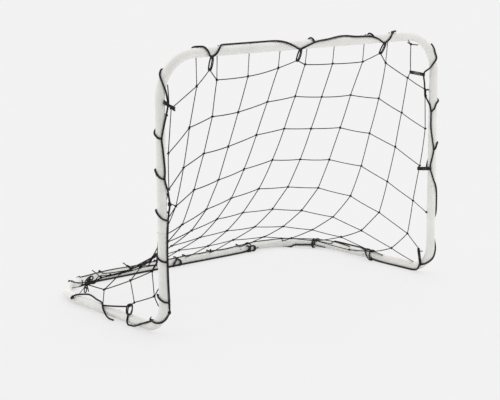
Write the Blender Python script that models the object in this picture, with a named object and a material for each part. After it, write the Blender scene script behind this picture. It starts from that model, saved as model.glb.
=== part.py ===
"""Small practice goal: a knock-down frame of bent steel tube with a knotted
string net, held by a border rope and cord ties.

Metres, +Z up. X runs across the mouth, Y from the mouth (-) to the back (+),
the floor is Z = 0 and the origin lies under the middle of the frame.
"""
import bpy
import bmesh
import math
from mathutils import Vector

# ------------------------------------------------------------ driving sizes
GOAL_WIDTH = 1.140            # over the outside of the two posts
GOAL_HEIGHT = 0.820           # floor to the top of the crossbar
GOAL_DEPTH = 0.690            # front of the posts to the back of the rear bar
TUBE_D = 0.028                # steel tube, outside
TUBE_WALL = 0.0012
TOP_BEND_R = 0.123            # centreline radii of the three kinds of bend
FOOT_BEND_R = 0.080
CORNER_BEND_R = 0.214

CROSSBAR_JOINT_X = 0.395      # where the crossbar meets the bent posts
POST_JOINT_Z = 0.305          # where a post stands on its foot tube
RAIL_JOINT_Y = -0.050         # where a foot tube meets the rear corner tube
REAR_JOINT_X = 0.290          # where a corner tube meets the rear bar
SOCKET_GAP = 0.0003           # between a swaged end and its socket
SWAGE_LENGTH = 0.050          # length of the reduced end inside the socket
SWAGE_SHOULDER = 0.0010       # length of the step down to the reduced end

BUTTON_INSET = 0.025          # snap button, from the rim of the socket
BUTTON_D = 0.0066
BUTTON_CLEAR = 0.0001         # radial, in its hole
BUTTON_PROUD = 0.0030         # how far the dome stands out of the tube
BUTTON_TRAVEL = 0.0044        # pressed until it clears the socket wall
FLANGE_D = 0.0092             # head that keeps the button in the tube
FLANGE_T = 0.0011
LEAF_T = 0.0006               # V-shaped leaf spring behind the button
LEAF_WIDTH = 0.0070
LEAF_LENGTH = 0.0285
SEAT_GAP = 0.0003             # between pieces that rest on each other

ROPE_D = 0.0055               # border rope of the net
TIE_D = 0.0030                # cord of the ties
TIE_FLAT = TIE_D / 10         # a tie under a base tube is flattened this much
STRAND_D = 0.0022             # netting string
NET_MESH = 0.1195             # knot to knot
NET_COLUMNS = 11              # vertical lines of knots, both edges included
NET_STANDOFF = 0.0232         # edge of the net, from the axis of a post
NET_EDGE_ANGLE = 38           # and behind its inner side, in degrees

TUBE_SIDES = 16
BEND_STEPS = 8
BUTTON_SIDES = 12
TIE_SIDES = 6
TIE_POINTS = 16

# ---------------------------------------------------------- derived places
TUBE_R = TUBE_D / 2
CORNER_FACTOR = 1 / math.cos(math.pi / TUBE_SIDES)
TUBE_CORNER_R = TUBE_R * CORNER_FACTOR            # over the corners of the facets
BORE_R = TUBE_R - TUBE_WALL
SWAGE_R = BORE_R - SOCKET_GAP
SWAGE_BORE_R = SWAGE_R - TUBE_WALL
ROPE_R = ROPE_D / 2
TIE_R = TIE_D / 2
HALF_STRAND = STRAND_D / 2 * 0.9                  # same section area as the round string

TIE_STEP = 2 * math.pi / TIE_POINTS
TIE_SEAT = (TUBE_CORNER_R + SEAT_GAP + TIE_R) / math.cos(TIE_STEP / 2)
ROPE_TURN = math.radians(30)                      # between points on a wrap
ROPE_SEAT = (TUBE_CORNER_R + SEAT_GAP + ROPE_R) / math.cos(ROPE_TURN / 2)
KNOT_SWELL = 1.45                                 # thickness of a stopper knot, in ropes
KNOT_SEAT = ROPE_SEAT + ROPE_R * (KNOT_SWELL - 1)
TIE_OVER_ROPE = (ROPE_R + SEAT_GAP + TIE_R) / math.cos(TIE_STEP / 2)

POST_X = GOAL_WIDTH / 2 - TUBE_R
FRONT_Y = -GOAL_DEPTH / 2 + TUBE_R
REAR_Y = GOAL_DEPTH / 2 - TUBE_R
BAR_Z = GOAL_HEIGHT - TUBE_R
# the frame stands on the ties that pass under its base tubes
BASE_Z = TIE_SEAT * math.cos(TIE_STEP / 2) + TIE_R - TIE_FLAT

X = Vector((1, 0, 0))
Y = Vector((0, 1, 0))
Z = Vector((0, 0, 1))


# ------------------------------------------------------------------ helpers
def clear_scene():
    for ob in list(bpy.data.objects):
        bpy.data.objects.remove(ob, do_unlink=True)


def material(name, colour, roughness, metallic):
    mat = bpy.data.materials.new(name)
    mat.use_nodes = True
    shader = mat.node_tree.nodes["Principled BSDF"]
    shader.inputs["Base Color"].default_value = (*colour, 1)
    shader.inputs["Roughness"].default_value = roughness
    shader.inputs["Metallic"].default_value = metallic
    mat.diffuse_color = (*colour, 1)
    return mat


WHITE_PAINT = (0.83, 0.83, 0.81), 0.42, 0.0
BUTTON_STEEL = (0.60, 0.60, 0.61), 0.30, 1.0
SPRING_STEEL = (0.42, 0.43, 0.45), 0.35, 1.0
BLACK_ROPE = (0.020, 0.020, 0.021), 0.85, 0.0
BLACK_CORD = (0.028, 0.027, 0.027), 0.80, 0.0
NET_STRING = (0.060, 0.058, 0.056), 0.80, 0.0


def add_object(name, data, look):
    ob = bpy.data.objects.new(name, data)
    bpy.context.collection.objects.link(ob)
    data.materials.append(material(name + "_material", *look))
    return ob


def finish_mesh(name, bm, look, sharp_deg=40):
    bmesh.ops.recalc_face_normals(bm, faces=bm.faces[:])
    mesh = bpy.data.meshes.new(name)
    bm.to_mesh(mesh)
    bm.free()
    mesh.shade_smooth()
    mesh.set_sharp_from_angle(angle=math.radians(sharp_deg))
    return add_object(name, mesh, look)


def ring(bm, origin, e1, e2, flat_radius, sides):
    """A polygon whose flat sides face along e1 and, when sides divide by 4, e2."""
    half = math.pi / sides
    radius = flat_radius / math.cos(half)
    verts = []
    for k in range(sides):
        a = half * (2 * k + 1)
        verts.append(bm.verts.new(origin + (e1 * math.cos(a) + e2 * math.sin(a)) * radius))
    return verts


def bridge(bm, ring_a, ring_b):
    """A band of quads between two rings."""
    count = len(ring_a)
    for k in range(count):
        n = (k + 1) % count
        bm.faces.new((ring_a[k], ring_a[n], ring_b[n], ring_b[k]))


def bent_line(start, corner, end, radius, steps=BEND_STEPS):
    """Points and tangents of a line that turns once, with a true arc."""
    d1 = (corner - start).normalized()
    d2 = (end - corner).normalized()
    turn = d1.angle(d2)
    back = radius * math.tan(turn / 2)
    side = (d2 - d1 * d1.dot(d2)).normalized()
    centre = corner - d1 * back + side * radius
    out = [(start.copy(), d1.copy())]
    for k in range(steps + 1):
        a = turn * k / steps
        out.append((centre - side * radius * math.cos(a) + d1 * radius * math.sin(a),
                    d1 * math.cos(a) + side * math.sin(a)))
    out.append((end.copy(), d2.copy()))
    return out


def swage(points, at_end):
    """Radii along a tube; the chosen end steps down to a reduced spigot.

    The path's own end is the plane of the socket's rim."""
    pts = points if at_end else [(p, -t) for p, t in reversed(points)]
    rim, t = pts[-1]
    stations = [(p, q, TUBE_R, BORE_R) for p, q in pts[:-1]]
    step = rim - t * SOCKET_GAP
    stations.append((step - t * (SWAGE_SHOULDER + 2 * TUBE_WALL), t, TUBE_R, BORE_R))
    stations.append((step - t * SWAGE_SHOULDER, t, TUBE_R, SWAGE_BORE_R))
    stations.append((step, t, SWAGE_R, SWAGE_BORE_R))
    stations.append((rim + t * SWAGE_LENGTH, t, SWAGE_R, SWAGE_BORE_R))
    if not at_end:
        stations = [(p, -q, a, b) for p, q, a, b in reversed(stations)]
    return stations


def plain(points):
    return [(p, t, TUBE_R, BORE_R) for p, t in points]


def tube(name, stations, normal):
    """An open tube swept through stations; normal is square to its bend."""
    bm = bmesh.new()
    outer, inner = [], []
    for p, t, r_out, r_in in stations:
        e2 = normal.cross(t).normalized()
        outer.append(ring(bm, p, normal, e2, r_out, TUBE_SIDES))
        inner.append(ring(bm, p, normal, e2, r_in, TUBE_SIDES))
    for a, b in zip(outer, outer[1:]):
        bridge(bm, a, b)
    for a, b in zip(inner, inner[1:]):
        bridge(bm, a, b)
    bridge(bm, outer[0], inner[0])
    bridge(bm, outer[-1], inner[-1])
    return finish_mesh(name, bm, WHITE_PAINT)


def lathe(name, origin, axis, side, profile, steps, look):
    """A turned piece: profile is (distance along the axis, radius)."""
    bm = bmesh.new()
    verts = [bm.verts.new(origin + axis * a + side * r) for a, r in profile]
    edges = [bm.edges.new(pair) for pair in zip(verts, verts[1:])]
    bmesh.ops.spin(bm, geom=verts + edges, cent=origin, axis=axis, dvec=(0, 0, 0),
                   angle=2 * math.pi, steps=steps, use_merge=True)
    bmesh.ops.remove_doubles(bm, verts=bm.verts[:], dist=1e-6)
    return finish_mesh(name, bm, look)


def strip(name, origin, along, out, line, thickness, width, look):
    """A bent leaf: line is (along, out) points of its middle."""
    across = along.cross(out)
    left, right = [], []
    for k, (a, b) in enumerate(line):
        before = Vector(line[max(k - 1, 0)])
        after = Vector(line[min(k + 1, len(line) - 1)])
        here = Vector((a, b))
        n1 = (here - before).normalized() if k else (after - here).normalized()
        n2 = (after - here).normalized() if k < len(line) - 1 else n1
        mid = (n1 + n2).normalized()
        offset = Vector((-mid.y, mid.x)) * (thickness / 2) / max(mid.dot(n2), 0.5)
        left.append(here + offset)
        right.append(here - offset)
    bm = bmesh.new()
    base = origin - across * width / 2
    outline = [bm.verts.new(base + along * q.x + out * q.y) for q in left + right[::-1]]
    count = len(line)
    faces = []
    for k in range(count - 1):
        a, b = outline[k], outline[k + 1]
        c, d = outline[2 * count - 2 - k], outline[2 * count - 1 - k]
        faces.append(bm.faces.new((a, b, c, d)))
    made = bmesh.ops.extrude_face_region(bm, geom=faces)
    moved = [v for v in made["geom"] if isinstance(v, bmesh.types.BMVert)]
    bmesh.ops.translate(bm, verts=moved, vec=across * width)
    return finish_mesh(name, bm, look, 25)


# -------------------------------------------------------------- tube frame
def build_frame():
    top_l = Vector((-POST_X, FRONT_Y, BAR_Z))
    top_r = Vector((POST_X, FRONT_Y, BAR_Z))
    tubes = {}
    tubes["crossbar"] = tube("crossbar", plain([
        (Vector((-CROSSBAR_JOINT_X, FRONT_Y, BAR_Z)), X),
        (Vector((CROSSBAR_JOINT_X, FRONT_Y, BAR_Z)), X)]), Y)
    tubes["rear_bar"] = tube("rear_bar", plain([
        (Vector((-REAR_JOINT_X, REAR_Y, BASE_Z)), X),
        (Vector((REAR_JOINT_X, REAR_Y, BASE_Z)), X)]), Y)
    for side, s, top in (("left", -1, top_l), ("right", 1, top_r)):
        # post with its top bend: socket at the bottom, spigot in the crossbar
        line = bent_line(Vector((s * POST_X, FRONT_Y, POST_JOINT_Z)), top,
                         Vector((s * CROSSBAR_JOINT_X, FRONT_Y, BAR_Z)), TOP_BEND_R)
        tubes[side + "_post"] = tube(side + "_post", swage(line, True), Y)
        # foot tube: spigot up into the post, elbow, spigot back into the corner tube
        corner = Vector((s * POST_X, FRONT_Y, BASE_Z))
        line = bent_line(Vector((s * POST_X, FRONT_Y, POST_JOINT_Z)), corner,
                         Vector((s * POST_X, RAIL_JOINT_Y, BASE_Z)), FOOT_BEND_R)
        up = swage(line, False)
        back = swage(line, True)
        half = len(line) // 2
        stations = up[:3 + half] + back[half:]
        tubes[side + "_foot_tube"] = tube(side + "_foot_tube", stations, X)
        # corner tube: socket in front, wide bend, spigot in the rear bar
        line = bent_line(Vector((s * POST_X, RAIL_JOINT_Y, BASE_Z)),
                         Vector((s * POST_X, REAR_Y, BASE_Z)),
                         Vector((s * REAR_JOINT_X, REAR_Y, BASE_Z)), CORNER_BEND_R)
        name = "rear_%s_corner_tube" % side
        tubes[name] = tube(name, swage(line, True), Z)
    return tubes


def joint_places():
    """Each socket: name, rim, way into the socket, way the button faces, tubes."""
    out = []
    for side, s in (("left", -1), ("right", 1)):
        out.append(("crossbar_" + side, Vector((s * CROSSBAR_JOINT_X, FRONT_Y, BAR_Z)),
                    X * -s, Y, ("crossbar", side + "_post")))
        out.append(("post_" + side, Vector((s * POST_X, FRONT_Y, POST_JOINT_Z)),
                    Z, Y, (side + "_post", side + "_foot_tube")))
        out.append(("rail_" + side, Vector((s * POST_X, RAIL_JOINT_Y, BASE_Z)),
                    Y, X * -s, ("rear_%s_corner_tube" % side, side + "_foot_tube")))
        out.append(("rear_" + side, Vector((s * REAR_JOINT_X, REAR_Y, BASE_Z)),
                    X * -s, -Y, ("rear_bar", "rear_%s_corner_tube" % side)))
    return out


def build_buttons(tubes):
    r = BUTTON_D / 2
    # the flange lies under the curved bore: lowest where the bore is nearest to it
    lean = 2 * math.pi / TUBE_SIDES
    flange_top = (SWAGE_BORE_R - FLANGE_D / 2 * math.sin(lean)) / math.cos(lean) - SEAT_GAP
    flange_low = flange_top - FLANGE_T
    tip = TUBE_R + BUTTON_PROUD
    leaf_top = flange_low - SEAT_GAP
    leaf_back = (SWAGE_BORE_R - LEAF_WIDTH / 2 * math.sin(lean)) / math.cos(lean) - SEAT_GAP
    for name, rim, inward, out, pair in joint_places():
        here = rim + inward * BUTTON_INSET
        cutter = lathe("cut_" + name, here, out, inward,
                       [(TUBE_R * 0.5, 0), (TUBE_R * 0.5, r + BUTTON_CLEAR),
                        (TUBE_R * 1.5, r + BUTTON_CLEAR), (TUBE_R * 1.5, 0)],
                       BUTTON_SIDES, BUTTON_STEEL)
        cutter.hide_render = True
        cutter.display_type = "WIRE"
        for tube_name in pair:
            mod = tubes[tube_name].modifiers.new("button_hole_" + name, "BOOLEAN")
            mod.operation = "DIFFERENCE"
            mod.solver = "EXACT"
            mod.object = cutter
        dome = []
        for k in range(1, 4):
            a = math.radians(30 * k)
            dome.append((tip - BUTTON_PROUD * 0.8 * (1 - math.sin(a)), r * math.cos(a)))
        profile = [(flange_low, 0), (flange_low, FLANGE_D / 2), (flange_top, FLANGE_D / 2),
                   (flange_top, r), (tip - BUTTON_PROUD * 0.8, r)] + dome[:2] + [(tip, 0)]
        button = lathe("button_" + name, Vector((0, 0, 0)), out, inward, profile,
                       BUTTON_SIDES, BUTTON_STEEL)
        button.location = here
        leaf = LEAF_T / 2
        lead = FLANGE_D / 2 + 0.0012
        nose = LEAF_LENGTH - lead
        line = [(-lead, leaf_top - leaf), (lead, leaf_top - leaf), (nose, leaf * 2.2),
                (nose + leaf * 1.6, 0), (nose, -leaf * 2.2),
                (lead, -leaf_back + leaf), (-lead, -leaf_back + leaf)]
        strip("spring_" + name, here, inward, out, line, LEAF_T, LEAF_WIDTH, SPRING_STEEL)


# ------------------------------------------------- border rope along a tube
def catmull(points, per_span):
    """Smooth curve through points of any dimension."""
    out = []
    last = len(points) - 1
    for k in range(last):
        p0, p1 = points[max(k - 1, 0)], points[k]
        p2, p3 = points[k + 1], points[min(k + 2, last)]
        for n in range(per_span):
            t = n / per_span
            out.append(tuple(
                0.5 * (2 * b + (c - a) * t + (2 * a - 5 * b + 4 * c - d) * t * t
                       + (3 * b - a - 3 * c + d) * t ** 3)
                for a, b, c, d in zip(p0, p1, p2, p3)))
    out.append(tuple(points[last]))
    return out


class SideRun:
    """Centreline of one side of the frame: top bend, post, elbow, rail, corner
    and rear bar, measured along its length from the top of the elbow.

    Round it, angle 0 is the inner side and 90 the front of the post, which
    becomes the underside of the rail."""

    def __init__(self, s):
        self.s = s
        self.inner = X * -s
        self.post_low = BASE_Z + FOOT_BEND_R
        self.post_high = BAR_Z - TOP_BEND_R
        self.rail_front = FRONT_Y + FOOT_BEND_R
        self.rail_back = REAR_Y - CORNER_BEND_R
        self.rear_out = POST_X - CORNER_BEND_R
        quarter = math.pi / 2
        self.top_start = -(self.post_high - self.post_low)
        self.rail_start = FOOT_BEND_R * quarter
        self.corner_start = self.rail_start + self.rail_back - self.rail_front
        self.rear_start = self.corner_start + CORNER_BEND_R * quarter

    def along(self, run, place):
        """Length along the side: heights, degrees of a bend, y or x outward."""
        if run == "top":
            return self.top_start - TOP_BEND_R * math.radians(place)
        if run == "post":
            return self.post_low - place
        if run == "elbow":
            return FOOT_BEND_R * math.radians(place)
        if run == "rail":
            return self.rail_start + place - self.rail_front
        if run == "corner":
            return self.corner_start + CORNER_BEND_R * math.radians(place)
        return self.rear_start + self.rear_out - place

    def frame(self, length):
        """Centre, inward side and the way that is front, then down."""
        s = self.s
        if length < self.top_start:
            a = (self.top_start - length) / TOP_BEND_R
            centre = Vector((s * (POST_X - TOP_BEND_R), FRONT_Y, self.post_high))
            spoke = X * s * math.cos(a) + Z * math.sin(a)
            return centre + spoke * TOP_BEND_R, -spoke, -Y
        if length < 0:
            return Vector((s * POST_X, FRONT_Y, self.post_low - length)), self.inner, -Y
        if length < self.rail_start:
            a = length / FOOT_BEND_R
            centre = Vector((s * POST_X, self.rail_front, self.post_low))
            spoke = -Y * math.cos(a) - Z * math.sin(a)
            return centre + spoke * FOOT_BEND_R, self.inner, spoke
        if length < self.corner_start:
            y = self.rail_front + length - self.rail_start
            return Vector((s * POST_X, y, BASE_Z)), self.inner, -Z
        if length < self.rear_start:
            a = (length - self.corner_start) / CORNER_BEND_R
            centre = Vector((s * self.rear_out, self.rail_back, BASE_Z))
            spoke = X * s * math.cos(a) + Y * math.sin(a)
            return centre + spoke * CORNER_BEND_R, -spoke, -Z
        x = self.rear_out - (length - self.rear_start)
        return Vector((s * x, REAR_Y, BASE_Z)), -Y, -Z

    def bend_stations(self):
        """Where the swept tubes have their rings, so that a rope turns there too."""
        out = []
        for k in range(BEND_STEPS + 1):
            place = 90 * k / BEND_STEPS
            out += [self.along(run, place) for run in ("top", "elbow", "corner")]
        return out


class BarRun:
    """The crossbar, by x; round it, angle 0 is its back and 90 its top."""

    def along(self, run, place):
        return place

    def frame(self, length):
        return Vector((length, FRONT_Y, BAR_Z)), Y, Z

    def bend_stations(self):
        return []


def route_on(run, points):
    """(part, place, angle[, distance]) as (length, angle, distance)."""
    return [(run.along(p[0], p[1]), p[2], p[3] if len(p) > 3 else ROPE_SEAT) for p in points]


def angle_at(route, length):
    """The rope's angle where it passes a place on the tube."""
    for (l0, a0, _), (l1, a1, _) in zip(route, route[1:]):
        if min(l0, l1) <= length <= max(l0, l1) and l0 != l1:
            return a0 + (a1 - a0) * (length - l0) / (l1 - l0)
    return route[-1][1]


def wound_points(run, route):
    """A rope's points: interpolated on the tube's own surface, close enough
    together that the rope keeps off the tube on a wrap or a bend."""
    marks = run.bend_stations()
    out = []
    for (l0, a0, d0), (l1, a1, d1) in zip(route, route[1:]):
        cuts = sorted({(m - l0) / (l1 - l0) for m in marks
                       if min(l0, l1) + 1e-4 < m < max(l0, l1) - 1e-4}) if l0 != l1 else []
        stops = [0.0] + cuts + [1.0]
        for t0, t1 in zip(stops, stops[1:]):
            turn = abs(math.radians(a1 - a0)) * (t1 - t0)
            steps = max(1, math.ceil(turn / ROPE_TURN - 1e-6),
                        math.ceil(abs(l1 - l0) * (t1 - t0) / (14 * ROPE_D)))
            for k in range(steps):
                t = t0 + (t1 - t0) * k / steps
                out.append(on_tube(run, l0 + (l1 - l0) * t, a0 + (a1 - a0) * t,
                                   d0 + (d1 - d0) * t))
    out.append(on_tube(run, *route[-1]))
    return out


def on_tube(run, length, angle, distance):
    centre, e1, e2 = run.frame(length)
    a = math.radians(angle)
    return centre + (e1 * math.cos(a) + e2 * math.sin(a)) * distance


def cord(name, points, diameter, look, swell=()):
    """A round cord through points; swell gives (index, factor) for its knots."""
    data = bpy.data.curves.new(name, "CURVE")
    data.dimensions = "3D"
    data.bevel_depth = diameter / 2
    data.bevel_resolution = 2
    data.use_fill_caps = True
    data.render_resolution_u = 0
    spline = data.splines.new("POLY")
    spline.points.add(len(points) - 1)
    for p, q in zip(spline.points, points):
        p.co = (*q, 1)
        p.radius = 1
    for index, factor in swell:
        spline.points[index].radius = factor
    return add_object(name, data, look)


def hitch(height, before, after, pitch=0.034):
    """One turn round a post: from the rope's line, behind the post and back
    over its front. height is where it comes into sight at the outer edge."""
    return [("post", height + pitch * 0.62, before),
            ("post", height, -140), ("post", height - pitch * 0.62, after - 360)]


def with_hitches(points, hitches, line):
    """Adds a hitch at each height; the angle runs on after each full turn."""
    out = list(points)
    for k, height in enumerate(hitches):
        out += [(r, p, a - 360 * k) for r, p, a in hitch(height, line[k], line[k + 1])]
    return out, -360 * len(hitches)


LEFT_HITCHES = (0.588, 0.477, 0.362, 0.235)
RIGHT_HITCHES = (0.580, 0.443)


def rope_routes():
    """The border rope's runs, each followed by hand along the tubes."""
    left, right, bar = SideRun(-1), SideRun(1), BarRun()
    routes = {}
    # along the crossbar, left to right, with three turns round it
    routes["rope_crossbar"] = (bar, route_on(bar, [
        ("bar", -0.432, 66), ("bar", -0.424, 95), ("bar", -0.408, 150),
        ("bar", -0.385, 240), ("bar", -0.362, 330), ("bar", -0.343, 415),
        ("bar", -0.325, 447), ("bar", -0.270, 450), ("bar", -0.160, 448),
        ("bar", -0.100, 470), ("bar", -0.070, 520), ("bar", -0.045, 600),
        ("bar", -0.022, 690), ("bar", 0.000, 790), ("bar", 0.014, 835),
        ("bar", 0.075, 825), ("bar", 0.135, 808), ("bar", 0.255, 830),
        ("bar", 0.290, 870), ("bar", 0.312, 960), ("bar", 0.328, 1050),
        ("bar", 0.342, 1160, KNOT_SEAT)]))
    # down the left post, round the foot and along the outside of the rail
    points, base = with_hitches(
        [("top", 22, 150, KNOT_SEAT), ("top", 12, 104), ("post", 0.668, 80), ("post", 0.632, 80)],
        LEFT_HITCHES, (84, 90, 66, 78, 58))
    points += [("post", 0.150, base + 44), ("elbow", 0, base + 44), ("elbow", 24, base + 92),
               ("elbow", 44, base + 138), ("elbow", 66, base + 164), ("elbow", 84, base + 152),
               ("rail", -0.236, base + 148), ("rail", -0.180, base + 146),
               ("rail", -0.164, base + 186), ("rail", -0.157, base + 246)]
    routes["rope_left_post"] = (left, route_on(left, points))
    # down the right post, round the foot and along the inside of the rail
    points, base = with_hitches(
        [("top", 34, 170), ("top", 20, 90), ("top", 6, 4), ("post", 0.630, 2)],
        RIGHT_HITCHES, (2, 50, 62))
    points += [("post", 0.385, base + 30), ("post", 0.350, base + 30),
               ("post", 0.300, base + 84), ("post", 0.205, base + 108),
               ("elbow", 0, base + 92), ("elbow", 24, base + 64),
               ("elbow", 46, base + 24), ("elbow", 80, base + 20), ("rail", -0.240, base + 22),
               ("rail", -0.200, base + 42), ("rail", -0.110, base + 42),
               ("rail", -0.074, base + 11), ("rail", -0.046, base + 10)]
    routes["rope_right_post"] = (right, route_on(right, points))
    # along the rear bar, low on its inner side, raised where a tie holds it
    routes["rope_rear"] = (left, route_on(left, [
        ("corner", 67.5, 40), ("corner", 90, 44), ("rear", 0.120, 42), ("rear", 0.060, 12),
        ("rear", -0.005, 12), ("rear", -0.110, 42), ("rear", -0.230, 40),
        ("rear", -0.280, 11), ("rear", -0.315, 10)]))
    # round the rear right corner, on top of the tube
    routes["rope_rear_right"] = (right, route_on(right, [
        ("rear", 0.330, -64), ("corner", 78.75, -70), ("corner", 45, -72),
        ("corner", 33.75, -70), ("corner", 22.5, -70), ("corner", 0, -62),
        ("rail", 0.060, -64), ("rail", -0.010, -66)]))
    return routes


def build_ropes(routes):
    knots = {"rope_crossbar": -1, "rope_left_post": 0}
    for name, (run, route) in routes.items():
        points = wound_points(run, route)
        swell = [(knots[name] % len(points), KNOT_SWELL)] if name in knots else []
        cord(name, points, ROPE_D, BLACK_ROPE, swell)
    # short end that lies over the left rail, with a stopper knot
    x = -POST_X
    top = BASE_Z + TUBE_CORNER_R + SEAT_GAP + ROPE_R
    points = [Vector(q) for q in catmull([
        (x - 0.0260, -0.098, ROPE_R + 0.0010), (x - 0.0215, -0.060, 0.0080),
        (x - 0.0165, -0.036, 0.0280), (x + 0.0020, -0.004, top + 0.0022),
        (x + 0.0180, 0.055, top + 0.0040), (x + 0.0200, 0.100, top + 0.0060),
        (x + 0.0020, 0.124, top + 0.0022), (x - 0.0180, 0.128, 0.0300),
        (x - 0.0235, 0.128, 0.0200)], 2)]
    cord("rope_left_end", points, ROPE_D, BLACK_ROPE,
         [(len(points) - 1, KNOT_SWELL), (len(points) - 2, 1.3)])


# --------------------------------------------------------------------- ties
def belt(circles):
    """A cord drawn tight round several circles (x, y, radius) in one plane.

    Points stand at even turns of the cord, with one more on each circle where
    the cord leaves it for the next."""
    def reach(c, a):
        return c[0] * math.cos(a) + c[1] * math.sin(a) + c[2]

    def on(c, a):
        return (c[0] + c[2] * math.cos(a), c[1] + c[2] * math.sin(a))

    def widest(a):
        return max(range(len(circles)), key=lambda n: reach(circles[n], a))

    marks = []
    fine = 32
    for k in range(TIE_POINTS * fine):
        a0 = (k + 0.5) * TIE_STEP / fine
        a1 = (k + 1.5) * TIE_STEP / fine
        n0, n1 = widest(a0), widest(a1)
        if n0 == n1:
            continue
        for _ in range(30):
            mid = (a0 + a1) / 2
            if widest(mid) == n0:
                a0 = mid
            else:
                a1 = mid
        marks.append((a0 % (2 * math.pi), n0, widest(a1)))
    near = TIE_STEP * 0.3
    items = []
    for k in range(TIE_POINTS):
        a = (k + 0.5) * TIE_STEP
        if all(abs((a - m + math.pi) % (2 * math.pi) - math.pi) > near for m, _, _ in marks):
            items.append((a, [on(circles[widest(a)], a)]))
    for m, n0, n1 in marks:
        items.append((m, [on(circles[n0], m), on(circles[n1], m)]))
    items.sort(key=lambda item: item[0])
    return [p for _, points in items for p in points]


def tie(name, centre, e1, e2, circles):
    """A closed cord loop in the plane of e1 and e2; flat where it meets the floor."""
    line = belt(circles)
    count = len(line)
    axis = e1.cross(e2)
    bm = bmesh.new()
    loops = []
    for k, (a, b) in enumerate(line):
        before = Vector(line[k - 1])
        after = Vector(line[(k + 1) % count])
        here = Vector((a, b))
        go = ((here - before).normalized() + (after - here).normalized()).normalized()
        slope = max(go.dot((after - here).normalized()), 0.6)
        out = Vector((go.y, -go.x))
        radial = e1 * out.x + e2 * out.y
        verts = ring(bm, centre + e1 * a + e2 * b, radial, axis, TIE_R, TIE_SIDES)
        # keep the full width of the cord where the loop turns
        for v in verts:
            off = v.co - (centre + e1 * a + e2 * b)
            v.co += radial * off.dot(radial) * (1 / slope - 1)
        loops.append(verts)
    for k in range(count):
        bridge(bm, loops[k], loops[(k + 1) % count])
    for v in bm.verts:
        if v.co.z < 0:
            v.co.z = 0
    return finish_mesh(name, bm, BLACK_CORD)


def around(angle=None, reach=None, spread=0):
    """Circles for a tie: the tube, the rope beside it, and the net it draws in.

    A rope that crosses the tie at a slant takes more room: spread, in degrees."""
    circles = [(0, 0, TIE_SEAT)]
    if angle is not None:
        for turn in ((-spread, 0, spread) if spread else (0,)):
            a = math.radians(angle + turn)
            circles.append((ROPE_SEAT * math.cos(a), ROPE_SEAT * math.sin(a), TIE_OVER_ROPE))
    if reach is not None:
        a = math.radians(reach[0])
        circles.append((reach[1] * math.cos(a), reach[1] * math.sin(a), TIE_D * 0.9))
    return circles


def build_ties(knots, routes):
    left, right, bar = SideRun(-1), SideRun(1), BarRun()
    last = NET_COLUMNS - 1

    def place_tie(name, run, length, rope=None, reach=None, spread=0):
        centre, e1, e2 = run.frame(length)
        angle = angle_at(routes[rope][1], length) if rope else None
        tie(name, centre, e1, e2, around(angle, reach, spread))

    # crossbar: round the bar and over its rope, hanging down to the top of the net
    for name, x in (("tie_crossbar_left", -0.398), ("tie_crossbar_middle", -0.056),
                    ("tie_crossbar_right", 0.300)):
        place_tie(name, bar, x, "rope_crossbar", (-90, 0.040), 14)
    # posts: each just under a knot of the net's edge, drawing it in
    under = STRAND_D + TIE_D
    reach = (-NET_EDGE_ANGLE, NET_STANDOFF + TIE_D * 2)
    for name, run, key, rope in (
            ("tie_left_post_upper", left, (0, 1), "rope_left_post"),
            ("tie_left_post_lower", left, (0, 3), "rope_left_post"),
            ("tie_right_post_upper", right, (last, 1), "rope_right_post"),
            ("tie_right_post_lower", right, (last, 3), "rope_right_post")):
        place_tie(name, run, run.along("post", knots[key].z - under), rope, reach, 8)
    # feet: where the rail leaves the elbow
    for side, run in (("left", left), ("right", right)):
        place_tie("tie_%s_foot" % side, run, run.along("elbow", 90 - 90 / BEND_STEPS),
                  "rope_%s_post" % side)
    # rails
    place_tie("tie_left_rail", left, left.along("rail", -0.130), None, (-62, 0.030))
    place_tie("tie_right_rail", right, right.along("rail", -0.060), "rope_right_post")
    # rear bar and rear corners
    place_tie("tie_rear_middle", left, left.along("rear", 0.026), "rope_rear")
    place_tie("tie_rear_right", left, left.along("rear", -0.303), "rope_rear")
    place_tie("tie_corner_right", right, right.along("corner", 270 / BEND_STEPS),
              "rope_rear_right")
    place_tie("tie_corner_left", left, left.along("corner", 360 / BEND_STEPS), None, (-48, 0.034))


# ---------------------------------------------------------------------- net
# The net hangs from the crossbar to the rear bar. Its middle lines, from the
# first knot under the crossbar to the last in front of the rear bar, as shares
# of the way back and of the height: (share across, [(back, up), ...]).
NET_LINES = (
    (-0.82, ((0.020, 0.885), (0.085, 0.590), (0.240, 0.315), (0.530, 0.150), (0.865, 0.035))),
    (-0.41, ((0.035, 0.895), (0.175, 0.625), (0.340, 0.365), (0.620, 0.180), (0.925, 0.055))),
    (0.01, ((0.040, 0.920), (0.200, 0.655), (0.380, 0.400), (0.645, 0.195), (0.925, 0.058))),
    (0.43, ((0.035, 0.905), (0.180, 0.635), (0.345, 0.370), (0.615, 0.177), (0.925, 0.055))),
    (0.82, ((0.040, 0.830), (0.120, 0.535), (0.225, 0.255), (0.520, 0.105), (0.845, 0.040))),
)
NET_CENTRE = 0.012            # the net hangs a little to the right of the middle


def column_x(j):
    """Columns stand one mesh apart, drawn together towards the posts."""
    half = (NET_COLUMNS - 1) / 2
    t = (j - half) / half
    return NET_CENTRE + (POST_X - NET_CENTRE) * t * (1.054 - 0.054 * t ** 4)


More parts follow.
